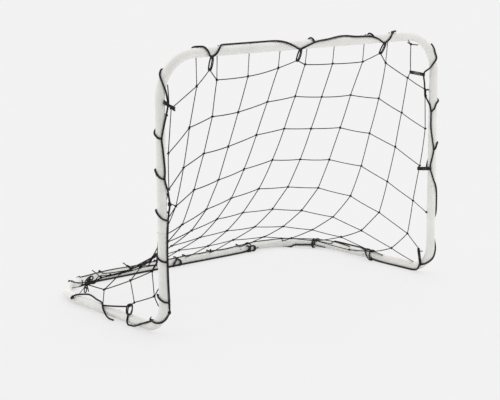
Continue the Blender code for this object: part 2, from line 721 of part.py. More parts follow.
def net_line(x):
    """The hanging line at one place across the mouth, as dense points."""
    share = x / POST_X
    keys = [k for k, _ in NET_LINES]
    k = max(0, min(len(keys) - 2, sum(share > q for q in keys) - 1))
    t = (share - keys[k]) / (keys[k + 1] - keys[k])
    rows = []
    for n in range(len(NET_LINES[0][1])):
        lines = [NET_LINES[max(0, min(len(keys) - 1, k + m))][1][n] for m in (-1, 0, 1, 2)]
        value = []
        for a, b, c, d in zip(*lines):
            value.append(0.5 * (2 * b + (c - a) * t + (2 * a - 5 * b + 4 * c - d) * t * t
                                + (3 * b - a - 3 * c + d) * t ** 3))
        rows.append(value)
    return [Vector((x, FRONT_Y + b * (REAR_Y - FRONT_Y), u * BAR_Z))
            for b, u in catmull(rows, 24)]


def walk(line, step):
    """Points one step apart along a line, counted along its length."""
    out, left_over = [line[0]], step
    for a, b in zip(line, line[1:]):
        length = (b - a).length
        while length >= left_over:
            a = a.lerp(b, left_over / length)
            length = (b - a).length
            out.append(a)
            left_over = step
        left_over -= length
    return out


def net_knots():
    """Knots by (column, row). Columns 0 and the last run beside the posts."""
    knots = {}
    last = NET_COLUMNS - 1
    for j in range(1, last):
        for i, p in enumerate(walk(net_line(column_x(j)), NET_MESH), 1):
            knots[j, i] = p
    # edges: straight down behind the inner side of each post, then to the rail
    for j, s, drop in ((0, -1, 0.055), (last, 1, 0.050)):
        near = 1 if j == 0 else last - 1
        a = math.radians(NET_EDGE_ANGLE)
        x = s * (POST_X - NET_STANDOFF * math.cos(a))
        y = FRONT_Y + NET_STANDOFF * math.sin(a)
        for i in (1, 2, 3):
            knots[j, i] = Vector((x, y, knots[near, i].z - drop))
    back = REAR_Y - FRONT_Y
    for j, i, inset, share, up in (
            (0, 4, 0.018, 0.065, 0.368), (0, 5, 0.012, 0.178, 0.254),
            (0, 6, 0.010, 0.332, 0.180), (0, 7, 0.014, 0.500, 0.118),
            (0, 8, 0.016, 0.665, 0.072),
            (last, 4, 0.022, 0.095, 0.306), (last, 5, 0.026, 0.124, 0.162),
            (last, 6, 0.024, 0.240, 0.082)):
        s = -1 if j == 0 else 1
        knots[j, i] = Vector((s * (POST_X - inset), FRONT_Y + share * back, up * BAR_Z))
    # the last two of the right edge lie against the rail
    rail = SideRun(1)
    for i, y, angle, off in ((7, -0.078, -58, 0.0235), (8, 0.045, -15, 0.0168)):
        knots[last, i] = on_tube(rail, rail.along("rail", y), angle, off)
    return knots


class NetMesh:
    """Knots as small blocks joined by four-sided strings: one closed body."""

    def __init__(self):
        self.bm = bmesh.new()
        self.used = {}

    def knot(self, key, p, across, down, half=HALF_STRAND):
        across = across.normalized()
        normal = across.cross(down).normalized()
        down = normal.cross(across).normalized()
        corner = {}
        for a in (-1, 1):
            for b in (-1, 1):
                for c in (-1, 1):
                    corner[a, b, c] = self.bm.verts.new(
                        p + (across * a + down * b + normal * c) * half)
        faces = {}
        for axis in range(3):
            for sign in (-1, 1):
                keys = []
                for m, n in ((-1, -1), (1, -1), (1, 1), (-1, 1)):
                    k = [m, n]
                    k.insert(axis, sign)
                    keys.append(corner[tuple(k)])
                faces[axis, sign] = keys
        self.used[key] = faces

    def string(self, a, face_a, b, face_b):
        """Joins a face of one block to a face of another."""
        one = self.used[a].pop(face_a)
        two = self.used[b].pop(face_b)
        best = None
        for loop in (two, two[::-1]):
            for k in range(4):
                turned = loop[k:] + loop[:k]
                cost = sum((p.co - q.co).length for p, q in zip(one, turned))
                if best is None or cost < best[0] - 1e-9:
                    best = (cost, turned)
        turned = best[1]
        for k in range(4):
            n = (k + 1) % 4
            self.bm.faces.new((one[k], one[n], turned[n], turned[k]))

    def close(self, name):
        for faces in self.used.values():
            for keys in faces.values():
                self.bm.faces.new(keys)
        return finish_mesh(name, self.bm, NET_STRING, 60)


STRING_STOP = HALF_STRAND * 2.5 + SEAT_GAP     # from a string's end to a neighbour's knot


def short_of(start, knot, slant=0.0):
    """Where a string from start ends in front of a neighbouring piece's knot."""
    way = knot - start
    return start + way.normalized() * (way.length - STRING_STOP - slant)


def build_net(knots):
    last = NET_COLUMNS - 1
    rows = {j: max(i for jj, i in knots if jj == j) for j in range(NET_COLUMNS)}
    left_cut, right_cut, row_cut = 3, 8, 5

    def panel(key):
        j, i = key
        part = "left" if j < left_cut else ("right" if j >= right_cut else "middle")
        return "net_%s_%s" % (part, "upper" if i < row_cut else "lower")

    panels = {}
    for key in knots:
        panels.setdefault(panel(key), []).append(key)

    def ways(key):
        j, i = key
        p = knots[key]
        right = knots.get((j + 1, i))
        leftn = knots.get((j - 1, i))
        across = ((right or p) - (leftn or p))
        if across.length < 1e-6:
            across = X.copy()
        up, down = knots.get((j, i - 1)), knots.get((j, i + 1))
        along = ((down or p) - (up or p))
        if along.length < 1e-6:
            along = -Z
        return across, along

    for name in sorted(panels):
        net = NetMesh()
        keys = panels[name]
        for key in keys:
            net.knot(key, knots[key], *ways(key))

        def loose(key, face, target, tag):
            """A string from a knot to a point on a neighbouring piece."""
            way = target - knots[key]
            axis, sign = face
            across, along = ways(key)
            if axis == 0:
                net.knot(tag, target, way * sign, along)
            else:
                net.knot(tag, target, across, way * sign)
            net.string(key, face, tag, (axis, -sign))

        for key in keys:
            j, i = key
            for other, face, back_face in (((j + 1, i), (0, 1), (0, -1)),
                                           ((j, i + 1), (1, 1), (1, -1))):
                if other not in knots:
                    continue
                if panel(other) == name:
                    net.string(key, face, other, back_face)
                else:
                    loose(key, face, short_of(knots[key], knots[other]), (key, face))
            # up behind the crossbar to the rope on its top
            if i == 1 and 0 < j < last:
                out = TUBE_CORNER_R + SEAT_GAP + HALF_STRAND * 1.5
                target = Vector((knots[key].x, FRONT_Y + out, BAR_Z))
                loose(key, (1, -1), target, (key, "bar"))
        # ends at the base tubes
        for key in keys:
            j, i = key
            if i != rows[j] or not 0 < j < last:
                continue
            p = knots[key]
            out = TUBE_CORNER_R + 2 * SEAT_GAP + HALF_STRAND * 2
            bend_x = POST_X - CORNER_BEND_R
            if abs(p.x) > bend_x:
                pivot = Vector((math.copysign(bend_x, p.x), REAR_Y - CORNER_BEND_R, BASE_Z))
                spoke = Vector((p.x - pivot.x, p.y - pivot.y, 0)).normalized()
                centre = pivot + spoke * CORNER_BEND_R
            else:
                centre = Vector((p.x, REAR_Y, BASE_Z))
            way = Vector((0, 0, p.z - BASE_Z)) + (Vector((p.x, p.y, 0)) - Vector((centre.x, centre.y, 0)))
            way.z = max(way.z, way.length * 0.35)
            target = centre + way.normalized() * out
            if (target - p).length > 4 * STRAND_D:
                loose(key, (1, 1), target, (key, "base"))
        net.close(name)

    build_side_net(knots)


def build_side_net(knots):
    """The low strings that close the left side between net and rail."""
    back = REAR_Y - FRONT_Y
    inset = 0.015
    x = -(POST_X - inset)

    def at(share, up, dx=0.0):
        return Vector((x + dx, FRONT_Y + share * back, up * BAR_Z))

    # left side: two rows of knots below the edge of the net
    places = {"c": at(0.113, 0.212), "b": at(0.284, 0.152), "a": at(0.498, 0.084),
              "e": at(0.100, 0.128), "d": at(0.255, 0.074), "f": at(0.505, 0.040, 0.004)}
    net = NetMesh()
    for key, p in places.items():
        net.knot(key, p, -Y, -Z)
    net.string("c", (0, -1), "b", (0, 1))
    net.string("b", (0, -1), "a", (0, 1))
    net.string("e", (0, -1), "d", (0, 1))
    net.string("d", (0, -1), "f", (0, 1))
    net.string("c", (1, 1), "e", (1, -1))
    net.string("b", (1, 1), "d", (1, -1))
    net.string("a", (1, 1), "f", (1, -1))
    # up to the edge of the main net
    for key, other in (("c", (0, 5)), ("b", (0, 6)), ("a", (0, 7))):
        target = short_of(places[key], knots[other], SEAT_GAP)
        net.knot(key + "_up", target, -Y, places[key] - target)
        net.string(key, (1, -1), key + "_up", (1, 1))
    # forward to the post and the foot
    for key, up in (("c", 0.226), ("e", 0.150)):
        post = Vector((-POST_X, FRONT_Y, up * BAR_Z))
        way = Vector((places[key].x - post.x, places[key].y - post.y, 0)).normalized()
        target = post + way * (TUBE_CORNER_R + SEAT_GAP + HALF_STRAND * 1.5)
        net.knot(key + "_post", target, target - places[key], -Z)
        net.string(key, (0, 1), key + "_post", (0, -1))
    # back to the knot on the corner tube
    side = SideRun(-1)
    centre, e1, e2 = side.frame(side.along("corner", 32))
    target = centre + (e1 * 0.45 - e2 * 0.89) * (TUBE_CORNER_R + 2 * SEAT_GAP + HALF_STRAND * 1.5)
    net.knot("a_back", target, places["a"] - target, -Z)
    net.string("a", (0, -1), "a_back", (0, 1))
    net.close("net_left_side")


def main():
    clear_scene()
    tubes = build_frame()
    build_buttons(tubes)
    routes = rope_routes()
    knots = net_knots()
    build_ropes(routes)
    build_ties(knots, routes)
    build_net(knots)


main()
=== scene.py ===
# %% [markdown]
# # A small practice goal with a knotted net
#
# The frame is eight pieces of bent steel tube that plug into each other and are
# held by snap buttons. A border rope is wound round them, and a net of thin
# twisted string hangs between the crossbar and the rear bar. The solid model
# already holds every size and place. This lesson gives each piece its real
# surface: round tube under powder coat, laid rope, string with real knots.

# %% Load the frame
import math
import random

import bmesh
import bpy
from mathutils import Matrix, Vector


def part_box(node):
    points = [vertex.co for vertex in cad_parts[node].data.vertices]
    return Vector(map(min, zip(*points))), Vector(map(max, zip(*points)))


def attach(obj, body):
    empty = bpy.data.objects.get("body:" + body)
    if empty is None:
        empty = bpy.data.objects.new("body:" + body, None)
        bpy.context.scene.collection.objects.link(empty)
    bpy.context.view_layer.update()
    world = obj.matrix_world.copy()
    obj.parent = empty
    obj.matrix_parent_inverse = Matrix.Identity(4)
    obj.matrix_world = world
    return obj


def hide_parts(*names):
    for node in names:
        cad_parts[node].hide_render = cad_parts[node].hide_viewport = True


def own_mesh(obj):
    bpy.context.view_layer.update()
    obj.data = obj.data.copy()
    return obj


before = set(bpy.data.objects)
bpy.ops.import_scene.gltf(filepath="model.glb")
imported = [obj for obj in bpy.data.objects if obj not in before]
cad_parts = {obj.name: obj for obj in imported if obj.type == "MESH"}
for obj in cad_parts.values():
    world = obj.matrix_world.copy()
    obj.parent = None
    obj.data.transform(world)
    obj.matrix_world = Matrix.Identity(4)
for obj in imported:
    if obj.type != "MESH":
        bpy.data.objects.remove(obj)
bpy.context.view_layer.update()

X, Y, Z = Vector((1, 0, 0)), Vector((0, 1, 0)), Vector((0, 0, 1))
GOAL = "goal"

# %% [markdown]
# ## Sizes
#
# Nothing is measured twice. The tube's radius and the places of the posts, bars
# and joints are read from the solids' own corners, so the fine pieces fall
# exactly where the solid ones are. Bend radii can't be read from a box, so they
# are written here as the solids have them. The cords are drawn thicker than they
# are, string 4.0 mm for 2.2, rope 6.0 for 5.5 and ties 4.0 for 3.0, because at
# the size of the photograph the true ones fade away.

# %% Places read from the solids, and the sizes of bends and cords
bar_low, bar_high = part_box("crossbar")
rear_low, rear_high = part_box("rear_bar")
foot_low, foot_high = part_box("right_foot_tube")
TUBE_R = (bar_high.z - bar_low.z) / 2
BAR_Z = (bar_low.z + bar_high.z) / 2
FRONT_Y = (bar_low.y + bar_high.y) / 2
REAR_Y = (rear_low.y + rear_high.y) / 2
BASE_Z = (rear_low.z + rear_high.z) / 2
POST_X = (foot_low.x + foot_high.x) / 2
CROSSBAR_JOINT_X = bar_high.x
REAR_JOINT_X = rear_high.x
POST_JOINT_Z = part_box("right_post")[0].z
RAIL_JOINT_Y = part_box("rear_right_corner_tube")[0].y

TOP_BEND_R = 0.123
FOOT_BEND_R = 0.080
CORNER_BEND_R = 0.214
TUBE_WALL = 0.0012
SOCKET_GAP = 0.0003
SWAGE_LENGTH = 0.050
ROPE_D = 0.0060
TIE_D = 0.0040
STRING_D = 0.0040
NET_MESH = 0.1195
print("tube diameter, mm:", round(TUBE_R * 2000, 2),
      "over the posts:", round((POST_X + TUBE_R) * 2000))

# %% [markdown]
# ## Two small helpers
#
# Whatever is made here ends as an object that is linked to the scene, and most of
# it starts as a bmesh, a mesh in the making. The editor does both steps unseen;
# in a script they are two short functions, so each piece needs one line for them.

# %% Putting things into the scene
def placed(name, data):
    """A new object with this data, linked to the scene."""
    ob = bpy.data.objects.new(name, data)
    bpy.context.scene.collection.objects.link(ob)
    return ob


def mesh_of(name, bm):
    """A bmesh turned into mesh data; the bmesh is used up."""
    mesh = bpy.data.meshes.new(name)
    bm.to_mesh(mesh)
    bm.free()
    return mesh


# %% [markdown]
# ## The camera
#
# The picture was taken from low on the left with a long lens: the near post is
# hardly taller than the far one. A camera in Blender looks along its own -Z, so
# its matrix is built from three directions: to the right, up, and back towards
# the photographer. Azimuth 0 looks along +Y.

# %% Camera at the photograph's angle
CAMERA_AZIMUTH = math.radians(-39.834)
CAMERA_ELEVATION = math.radians(11.038)
CAMERA_ROLL = math.radians(-0.401)
CAMERA_PLACE = Vector((-2.85198, -3.47184, 1.15516))
CAMERA_LENS = 100.98
SENSOR_WIDTH = 36

back = Vector((math.sin(CAMERA_AZIMUTH) * math.cos(CAMERA_ELEVATION),
               -math.cos(CAMERA_AZIMUTH) * math.cos(CAMERA_ELEVATION),
               math.sin(CAMERA_ELEVATION)))
level = Vector((math.cos(CAMERA_AZIMUTH), math.sin(CAMERA_AZIMUTH), 0))
upright = back.cross(level)
right = level * math.cos(CAMERA_ROLL) + upright * math.sin(CAMERA_ROLL)
up = upright * math.cos(CAMERA_ROLL) - level * math.sin(CAMERA_ROLL)

camera = placed("camera", bpy.data.cameras.new("camera"))
turn = Matrix((right, up, back)).transposed().to_4x4()
camera.matrix_world = Matrix.Translation(CAMERA_PLACE) @ turn
camera.data.sensor_width = SENSOR_WIDTH
camera.data.lens = CAMERA_LENS
camera.data.clip_end = 200
bpy.context.scene.camera = camera
print("camera distance, m:", round(CAMERA_PLACE.length, 2))

# %% [markdown]
# ## Colours and nodes
#
# Colours are written as sRGB hex values, the numbers a colour picker shows, and
# turned to linear light by one function. A second function adds a shader node
# with its settings and a third wires it up, so a material reads as a short list.


# %% Helpers for materials
def linear(hex_colour):
    """An sRGB hex colour as the linear values that a shader takes."""
    parts = [int(hex_colour[k:k + 2], 16) / 255 for k in (1, 3, 5)]
    return [p / 12.92 if p <= 0.04045 else ((p + 0.055) / 1.055) ** 2.4 for p in parts] + [1.0]


def node(mat, kind, inputs=(), stops=(), **settings):
    """Adds a node; inputs gives each socket a value or another node's output.

    stops are a colour ramp's (place, hex colour) pairs.
    """
    made = mat.node_tree.nodes.new(kind)
    for name, value in settings.items():
        setattr(made, name, value)
    for socket, value in dict(inputs).items():
        if isinstance(value, bpy.types.NodeSocket):
            mat.node_tree.links.new(value, made.inputs[socket])
        else:
            made.inputs[socket].default_value = value
    for k, (place, colour) in enumerate(stops):
        made.color_ramp.elements[k].position = place
        made.color_ramp.elements[k].color = linear(colour)
    return made


def shader_of(name, hex_colour, roughness, metallic=0.0):
    """A new material and its Principled shader."""
    mat = bpy.data.materials.new(name)
    mat.use_nodes = True
    shader = mat.node_tree.nodes["Principled BSDF"]
    shader.inputs["Base Color"].default_value = linear(hex_colour)
    shader.inputs["Roughness"].default_value = roughness
    shader.inputs["Metallic"].default_value = metallic
    return mat, shader


def link(mat, output, to, socket):
    """Wires a node's output to a socket of a node that is already there."""
    mat.node_tree.links.new(output, to.inputs[socket])


# %% [markdown]
# ## White powder coat
#
# The tubes are steel with a baked polyester powder coat. The powder melts into a
# satin skin with a fine orange peel, bumps about 2 mm across and a few
# hundredths of a millimetre high, so reflections are soft and slightly broken.
# Towards the floor the paint is made a little darker and greyer, broken up in
# patches, and its gloss changes in the same patches.

# %% Powder coat on steel
ORANGE_PEEL = 0.0022      # width of a bump
PAINT_CLOUD = 0.070       # slow change of tone along a tube
PATCH_SIZE = 0.018
DARKENING_HEIGHT = 0.020


def powder_coat():
    mat, shader = shader_of("polyester_powder_coat_white", "#ECEBE7", 0.42)
    shader.inputs["IOR"].default_value = 1.49
    place = node(mat, "ShaderNodeTexCoord").outputs["Object"]
    cloudy = node(mat, "ShaderNodeTexNoise", {"Vector": place, "Scale": 1 / PAINT_CLOUD,
                                              "Detail": 3.0})
    paint = node(mat, "ShaderNodeValToRGB", {"Fac": cloudy.outputs["Fac"]},
                 [(0.35, "#E8E7E3"), (0.65, "#F0EFEC")]).outputs["Color"]
    # paint darker and greyer towards the floor: strongest at the floor, broken up by a coarse noise
    height = node(mat, "ShaderNodeSeparateXYZ", {"Vector": place}).outputs["Z"]
    low = node(mat, "ShaderNodeMapRange", {"Value": height, "From Min": 0.0,
                                           "From Max": DARKENING_HEIGHT, "To Min": 0.30,
                                           "To Max": 0.0})
    patches = node(mat, "ShaderNodeTexNoise", {"Vector": place, "Scale": 1 / PATCH_SIZE,
                                               "Detail": 5.0})
    floor_darkening = node(mat, "ShaderNodeMath", {0: low.outputs["Result"], 1: patches.outputs["Fac"]},
                operation="MULTIPLY")
    darker_near_floor = node(mat, "ShaderNodeMix", {"Factor": floor_darkening.outputs["Value"], "A": paint,
                                        "B": linear("#B9B5AC")}, data_type="RGBA")
    link(mat, darker_near_floor.outputs["Result"], shader, "Base Color")
    gloss = node(mat, "ShaderNodeMapRange", {"Value": patches.outputs["Fac"],
                                             "To Min": 0.36, "To Max": 0.50})
    link(mat, gloss.outputs["Result"], shader, "Roughness")
    peel = node(mat, "ShaderNodeTexNoise", {"Vector": place, "Scale": 1 / ORANGE_PEEL,
                                            "Detail": 1.0})
    bump = node(mat, "ShaderNodeBump", {"Height": peel.outputs["Fac"], "Strength": 0.35,
                                        "Distance": 0.00005})
    link(mat, bump.outputs["Normal"], shader, "Normal")
    return mat


# %% [markdown]
# ## Bare metal
#
# The snap buttons are turned steel with a bright zinc plating, and the leaf
# springs behind them are blued strip. Both are metals, so metallic is 1 and the
# colour is the reflection's colour. Turning leaves rings and rolling leaves
# long scratches; a stretched noise in the roughness gives either.

# %% Zinc plate and spring steel
TOOL_MARK = 0.0004        # width of a turned ring or a rolled scratch


def bare_metal(name, hex_colour, roughness, grain):
    mat, shader = shader_of(name, hex_colour, roughness, 1.0)
    place = node(mat, "ShaderNodeTexCoord").outputs["Object"]
    stretched = node(mat, "ShaderNodeMapping", {"Vector": place, "Scale": grain})
    scratches = node(mat, "ShaderNodeTexNoise", {"Vector": stretched.outputs["Vector"],
                                                 "Scale": 1 / TOOL_MARK, "Detail": 2.0})
    gloss = node(mat, "ShaderNodeMapRange", {"Value": scratches.outputs["Fac"],
                                             "To Min": roughness - 0.08,
                                             "To Max": roughness + 0.12})
    link(mat, gloss.outputs["Result"], shader, "Roughness")
    return mat


# %% [markdown]
# ## Rope, cord and string
#
# All three are laid from black plastic fibre: strands twisted round each other.
# The twist is real geometry here, so the material only has to add the fibres.
# Each cord carries a UV map that runs once round it and in millimetres along it,
# so a noise that is long in V and short in U draws fibres that follow the twist.
# Rubbed fibres catch the light, which the sheen gives.

# %% Laid plastic fibre
FIBRES_PER_MM = 2.2       # across the cord: coarser than real fibres, so that they show
FIBRE_STRETCH = 0.10      # along the cord a streak is ten times as long


def laid_fibre(name, dark, pale, around_mm, sheen):
    mat, shader = shader_of(name, dark, 0.72)
    shader.inputs["Sheen Weight"].default_value = sheen
    shader.inputs["Sheen Roughness"].default_value = 0.45
    shader.inputs["Specular IOR Level"].default_value = 0.25
    along = node(mat, "ShaderNodeUVMap", uv_map="UVMap").outputs["UV"]
    fibres = node(mat, "ShaderNodeMapping", {"Vector": along,
                                                 "Scale": (around_mm, FIBRE_STRETCH, 1.0)})
    streaks = node(mat, "ShaderNodeTexNoise", {"Vector": fibres.outputs["Vector"],
                                               "Scale": FIBRES_PER_MM, "Detail": 3.0})
    colour = node(mat, "ShaderNodeValToRGB", {"Fac": streaks.outputs["Fac"]},
                  [(0.30, dark), (0.72, pale)])
    link(mat, colour.outputs["Color"], shader, "Base Color")
    bump = node(mat, "ShaderNodeBump", {"Height": streaks.outputs["Fac"], "Strength": 0.7,
                                        "Distance": 0.0003})
    link(mat, bump.outputs["Normal"], shader, "Normal")
    return mat


PAINT = powder_coat()
ZINC = bare_metal("zinc_plated_turned_steel", "#C9CACC", 0.26, (1, 1, 0.1))
BLUED = bare_metal("rolled_spring_steel", "#8B8E93", 0.34, (0.1, 1, 1))
ROPE = laid_fibre("laid_polypropylene_rope_black", "#0E0E0F", "#2B2B2C", 17.0, 0.10)
CORD = laid_fibre("laid_polyester_cord_black", "#111111", "#302F2F", 9.5, 0.10)
STRING = laid_fibre("twisted_polyethylene_string_black", "#0C0C0C", "#242322", 7.0, 0.03)
print("materials:", [m.name for m in (PAINT, ZINC, BLUED, ROPE, CORD, STRING)])


# %% [markdown]
# ## Finishing a piece
#
# A bmesh becomes an object in one place: doubles are merged, the faces are
# turned outwards, the mesh is shaded smooth with sharp edges where it turns
# hard, and the object rides on its body and stands for its solid.

# %% From a bmesh to a piece
WELD = 1e-6


def piece(name, bm, mat, body, nodes, sharp=40):
    """Makes the object, lets it ride on its body and replace its solids."""
    bmesh.ops.remove_doubles(bm, verts=bm.verts[:], dist=WELD)
    bmesh.ops.recalc_face_normals(bm, faces=bm.faces[:])
    mesh = mesh_of(name, bm)
    mesh.shade_smooth()
    mesh.set_sharp_from_angle(angle=math.radians(sharp))
    mesh.materials.append(mat)
    ob = placed(name, mesh)
    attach(ob, body)
    if nodes:
        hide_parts(*nodes)
    return ob


# %% [markdown]
# ## Round tube
#
# A bender feeds straight tube round a die, so each tube is only straights and
# true arcs. The same three moves make it here: a circle of edges is extruded
# along a straight, spun round a bend's centre, or extruded and scaled where the
# end is swaged down to a spigot. One wall thickness is added at the end. The
# solids have sixteen flat sides; these have forty-eight.

# %% Moves that make a tube
TUBE_SIDES = 48
BEND_STEPS = 30
SWAGE_STEP = 0.0010


def open_ring(bm, place, way, side):
    """A circle of edges square to way."""
    axes = Matrix((side, way.cross(side), way)).transposed().to_4x4()
    made = bmesh.ops.create_circle(bm, cap_ends=False, segments=TUBE_SIDES, radius=TUBE_R,
                                   matrix=Matrix.Translation(place) @ axes)
    return made["verts"], list({e for v in made["verts"] for e in v.link_edges})


def split(geom):
    return ([g for g in geom if isinstance(g, bmesh.types.BMVert)],
            [g for g in geom if isinstance(g, bmesh.types.BMEdge)])


def straight(bm, ring, shift):
    """Extrudes the ring along a straight."""
    made = bmesh.ops.extrude_edge_only(bm, edges=ring[1])
    ring = split(made["geom"])
    bmesh.ops.translate(bm, verts=ring[0], vec=shift)
    return ring


def bend(bm, ring, centre, axis, angle):
    """Spins the ring round the centre of a bend."""
    made = bmesh.ops.spin(bm, geom=ring[0] + ring[1], cent=centre, axis=axis, dvec=(0, 0, 0),
                          angle=angle, steps=BEND_STEPS, use_duplicate=False)
    return split(made["geom_last"])


def spigot(bm, ring, end, way):
    """Steps the ring down and runs it into the socket that starts at end."""
    middle = sum((v.co for v in ring[0]), Vector()) / len(ring[0])
    ring = straight(bm, ring, end - way * (SOCKET_GAP + SWAGE_STEP) - middle)
    smaller = (TUBE_R - TUBE_WALL - SOCKET_GAP) / TUBE_R
    ring = straight(bm, ring, way * SWAGE_STEP)
    here = Matrix.Translation(-(end - way * SOCKET_GAP))
    bmesh.ops.scale(bm, verts=ring[0], vec=(smaller,) * 3, space=here)
    return straight(bm, ring, way * (SWAGE_LENGTH + SOCKET_GAP))


def walled(bm):
    """Gives the tube its wall, inwards."""
    bmesh.ops.remove_doubles(bm, verts=bm.verts[:], dist=WELD)
    bmesh.ops.recalc_face_normals(bm, faces=bm.faces[:])
    before = max(v.co.length for v in bm.verts)
    bmesh.ops.solidify(bm, geom=bm.faces[:], thickness=TUBE_WALL)
    grown = max(v.co.length for v in bm.verts) - before
    print("   wall added, reach grew by mm:", round(grown * 1e3, 3))


# %% [markdown]
# ## Snap buttons and their holes
#
# At each joint a dome of steel pokes through both walls and holds them
# together. The holes are cut with a Boolean, as they are drilled through the
# assembled pair. The eight joints are listed once: the socket's rim, the way
# into the socket and the way the button faces.

# %% The eight joints
BUTTON_INSET = 0.025
BUTTON_R = 0.0033
BUTTON_CLEAR = 0.0001
FLANGE_THICKNESS = 0.0011
FLANGE_CHAMFER = 0.0002
DOME_HEIGHT = 0.0024


def joints():
    out = {}
    for side, s in (("left", -1), ("right", 1)):
        out["crossbar_" + side] = (Vector((s * CROSSBAR_JOINT_X, FRONT_Y, BAR_Z)), X * -s, Y)
        out["post_" + side] = (Vector((s * POST_X, FRONT_Y, POST_JOINT_Z)), Z.copy(), Y)
        out["rail_" + side] = (Vector((s * POST_X, RAIL_JOINT_Y, BASE_Z)), Y.copy(), X * -s)
        out["rear_" + side] = (Vector((s * REAR_JOINT_X, REAR_Y, BASE_Z)), X * -s, -Y)
    return out


JOINTS = joints()


def drill(ob, names):
    """Cuts the button holes of these joints through a tube and keeps the result."""
    cutters = []
    for name in names:
        rim, inward, out = JOINTS[name]
        bm = bmesh.new()
        axes = Matrix((inward, out.cross(inward), out)).transposed().to_4x4()
        middle = rim + inward * BUTTON_INSET + out * TUBE_R
        bmesh.ops.create_cone(bm, cap_ends=True, segments=32, radius1=BUTTON_R + BUTTON_CLEAR,
                              radius2=BUTTON_R + BUTTON_CLEAR, depth=TUBE_R,
                              matrix=Matrix.Translation(middle) @ axes)
        cutter = placed("drill_" + name, mesh_of("drill_" + name, bm))
        cutters.append(cutter)
        cut = ob.modifiers.new("hole_" + name, "BOOLEAN")
        cut.operation = "DIFFERENCE"
        cut.solver = "EXACT"
        cut.object = cutter
    graph = bpy.context.evaluated_depsgraph_get()
    mesh = bpy.data.meshes.new_from_object(ob.evaluated_get(graph))
    ob.modifiers.clear()
    ob.data = mesh
    mesh.name = ob.name
    for cutter in cutters:
        bpy.data.objects.remove(cutter, do_unlink=True)


# %% [markdown]
# ## The eight tubes
#
# Goals of this kind come apart for packing. The joints can't be seen in the
# photograph, so the frame is split where such tubes usually are. Each tube could
# be a curve with a round bevel, but a curve has no spigot, wall or hole. So each
# is made as in the shop: bent, swaged, given its wall and drilled.

# %% Bend, swage and drill the eight tubes
def make_tubes():
    made = {}
    for side, s in (("left", -1), ("right", 1)):
        # post: from its socket at the bottom, round the top bend, into the crossbar
        bm = bmesh.new()
        ring = open_ring(bm, Vector((s * POST_X, FRONT_Y, POST_JOINT_Z)), Z, X)
        ring = straight(bm, ring, Z * (BAR_Z - TOP_BEND_R - POST_JOINT_Z))
        ring = bend(bm, ring, Vector((s * (POST_X - TOP_BEND_R), FRONT_Y, BAR_Z - TOP_BEND_R)),
                    Y * -s, math.pi / 2)
        spigot(bm, ring, Vector((s * CROSSBAR_JOINT_X, FRONT_Y, BAR_Z)), X * -s)
        walled(bm)
        made[side + "_post"] = piece("tube_post_" + side, bm, PAINT, GOAL, [side + "_post"])
        drill(made[side + "_post"], ["post_" + side, "crossbar_" + side])
        # foot tube: a spigot up into the post, the elbow, a spigot back into the rail
        bm = bmesh.new()
        low = Vector((s * POST_X, FRONT_Y, BASE_Z + FOOT_BEND_R))
        ring = open_ring(bm, low, Z, X)
        start = ring
        ring = bend(bm, ring, low + Y * FOOT_BEND_R, X, math.pi / 2)
        spigot(bm, ring, Vector((s * POST_X, RAIL_JOINT_Y, BASE_Z)), Y)
        spigot(bm, start, Vector((s * POST_X, FRONT_Y, POST_JOINT_Z)), Z)
        walled(bm)
        name = side + "_foot_tube"
        made[name] = piece("tube_foot_" + side, bm, PAINT, GOAL, [name])
        drill(made[name], ["post_" + side, "rail_" + side])
        # corner tube: a socket in front, the wide bend, a spigot into the rear bar
        bm = bmesh.new()
        ring = open_ring(bm, Vector((s * POST_X, RAIL_JOINT_Y, BASE_Z)), Y, X)
        ring = straight(bm, ring, Y * (REAR_Y - CORNER_BEND_R - RAIL_JOINT_Y))
        pivot = Vector((s * (POST_X - CORNER_BEND_R), REAR_Y - CORNER_BEND_R, BASE_Z))
        ring = bend(bm, ring, pivot, Z * s, math.pi / 2)
        spigot(bm, ring, Vector((s * REAR_JOINT_X, REAR_Y, BASE_Z)), X * -s)
        walled(bm)
        name = "rear_%s_corner_tube" % side
        made[name] = piece("tube_corner_" + side, bm, PAINT, GOAL, [name])
        drill(made[name], ["rail_" + side, "rear_" + side])
    for name, y, z, half, holes in (("crossbar", FRONT_Y, BAR_Z, CROSSBAR_JOINT_X, "crossbar_"),
                                    ("rear_bar", REAR_Y, BASE_Z, REAR_JOINT_X, "rear_")):
        bm = bmesh.new()
        ring = open_ring(bm, Vector((-half, y, z)), X, Y)
        straight(bm, ring, X * 2 * half)
        walled(bm)
        made[name] = piece("tube_" + name, bm, PAINT, GOAL, [name])
        drill(made[name], [holes + "left", holes + "right"])
    return made


tubes = make_tubes()
print("tubes:", {n: len(ob.data.polygons) for n, ob in tubes.items()})

# %% [markdown]
# ## The buttons
#
# The real button is a turned part: a flange that stays inside the tube, a
# straight shank and a dome. A cylinder and half a sphere could be stacked, but
# spinning its half outline once round its own axis makes it one closed skin.

# %% Turn the buttons
def make_button(name, rim, inward, out):
    here = rim + inward * BUTTON_INSET
    low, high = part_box("button_" + name)
    tip = max(abs((high - here).dot(out)), abs((low - here).dot(out)))
    flange = min((high - here).dot(out), (low - here).dot(out))
    flange_r = max(high - low) / 2
    outline = [(flange, 0), (flange, flange_r - FLANGE_CHAMFER),
               (flange + FLANGE_CHAMFER, flange_r), (flange + FLANGE_THICKNESS, flange_r),
               (flange + FLANGE_THICKNESS, BUTTON_R)]
    for k in range(9):
        a = math.radians(90 * k / 8)
        outline.append((tip - DOME_HEIGHT * (1 - math.sin(a)), BUTTON_R * math.cos(a)))
    bm = bmesh.new()
    verts = [bm.verts.new(here + out * a + inward * r) for a, r in outline]
    edges = [bm.edges.new(pair) for pair in zip(verts, verts[1:])]
    bmesh.ops.spin(bm, geom=verts + edges, cent=here, axis=out, dvec=(0, 0, 0),
                   angle=2 * math.pi, steps=40, use_merge=True)
    return piece("snap_" + name, bm, ZINC, "button_" + name, ["button_" + name], sharp=30)


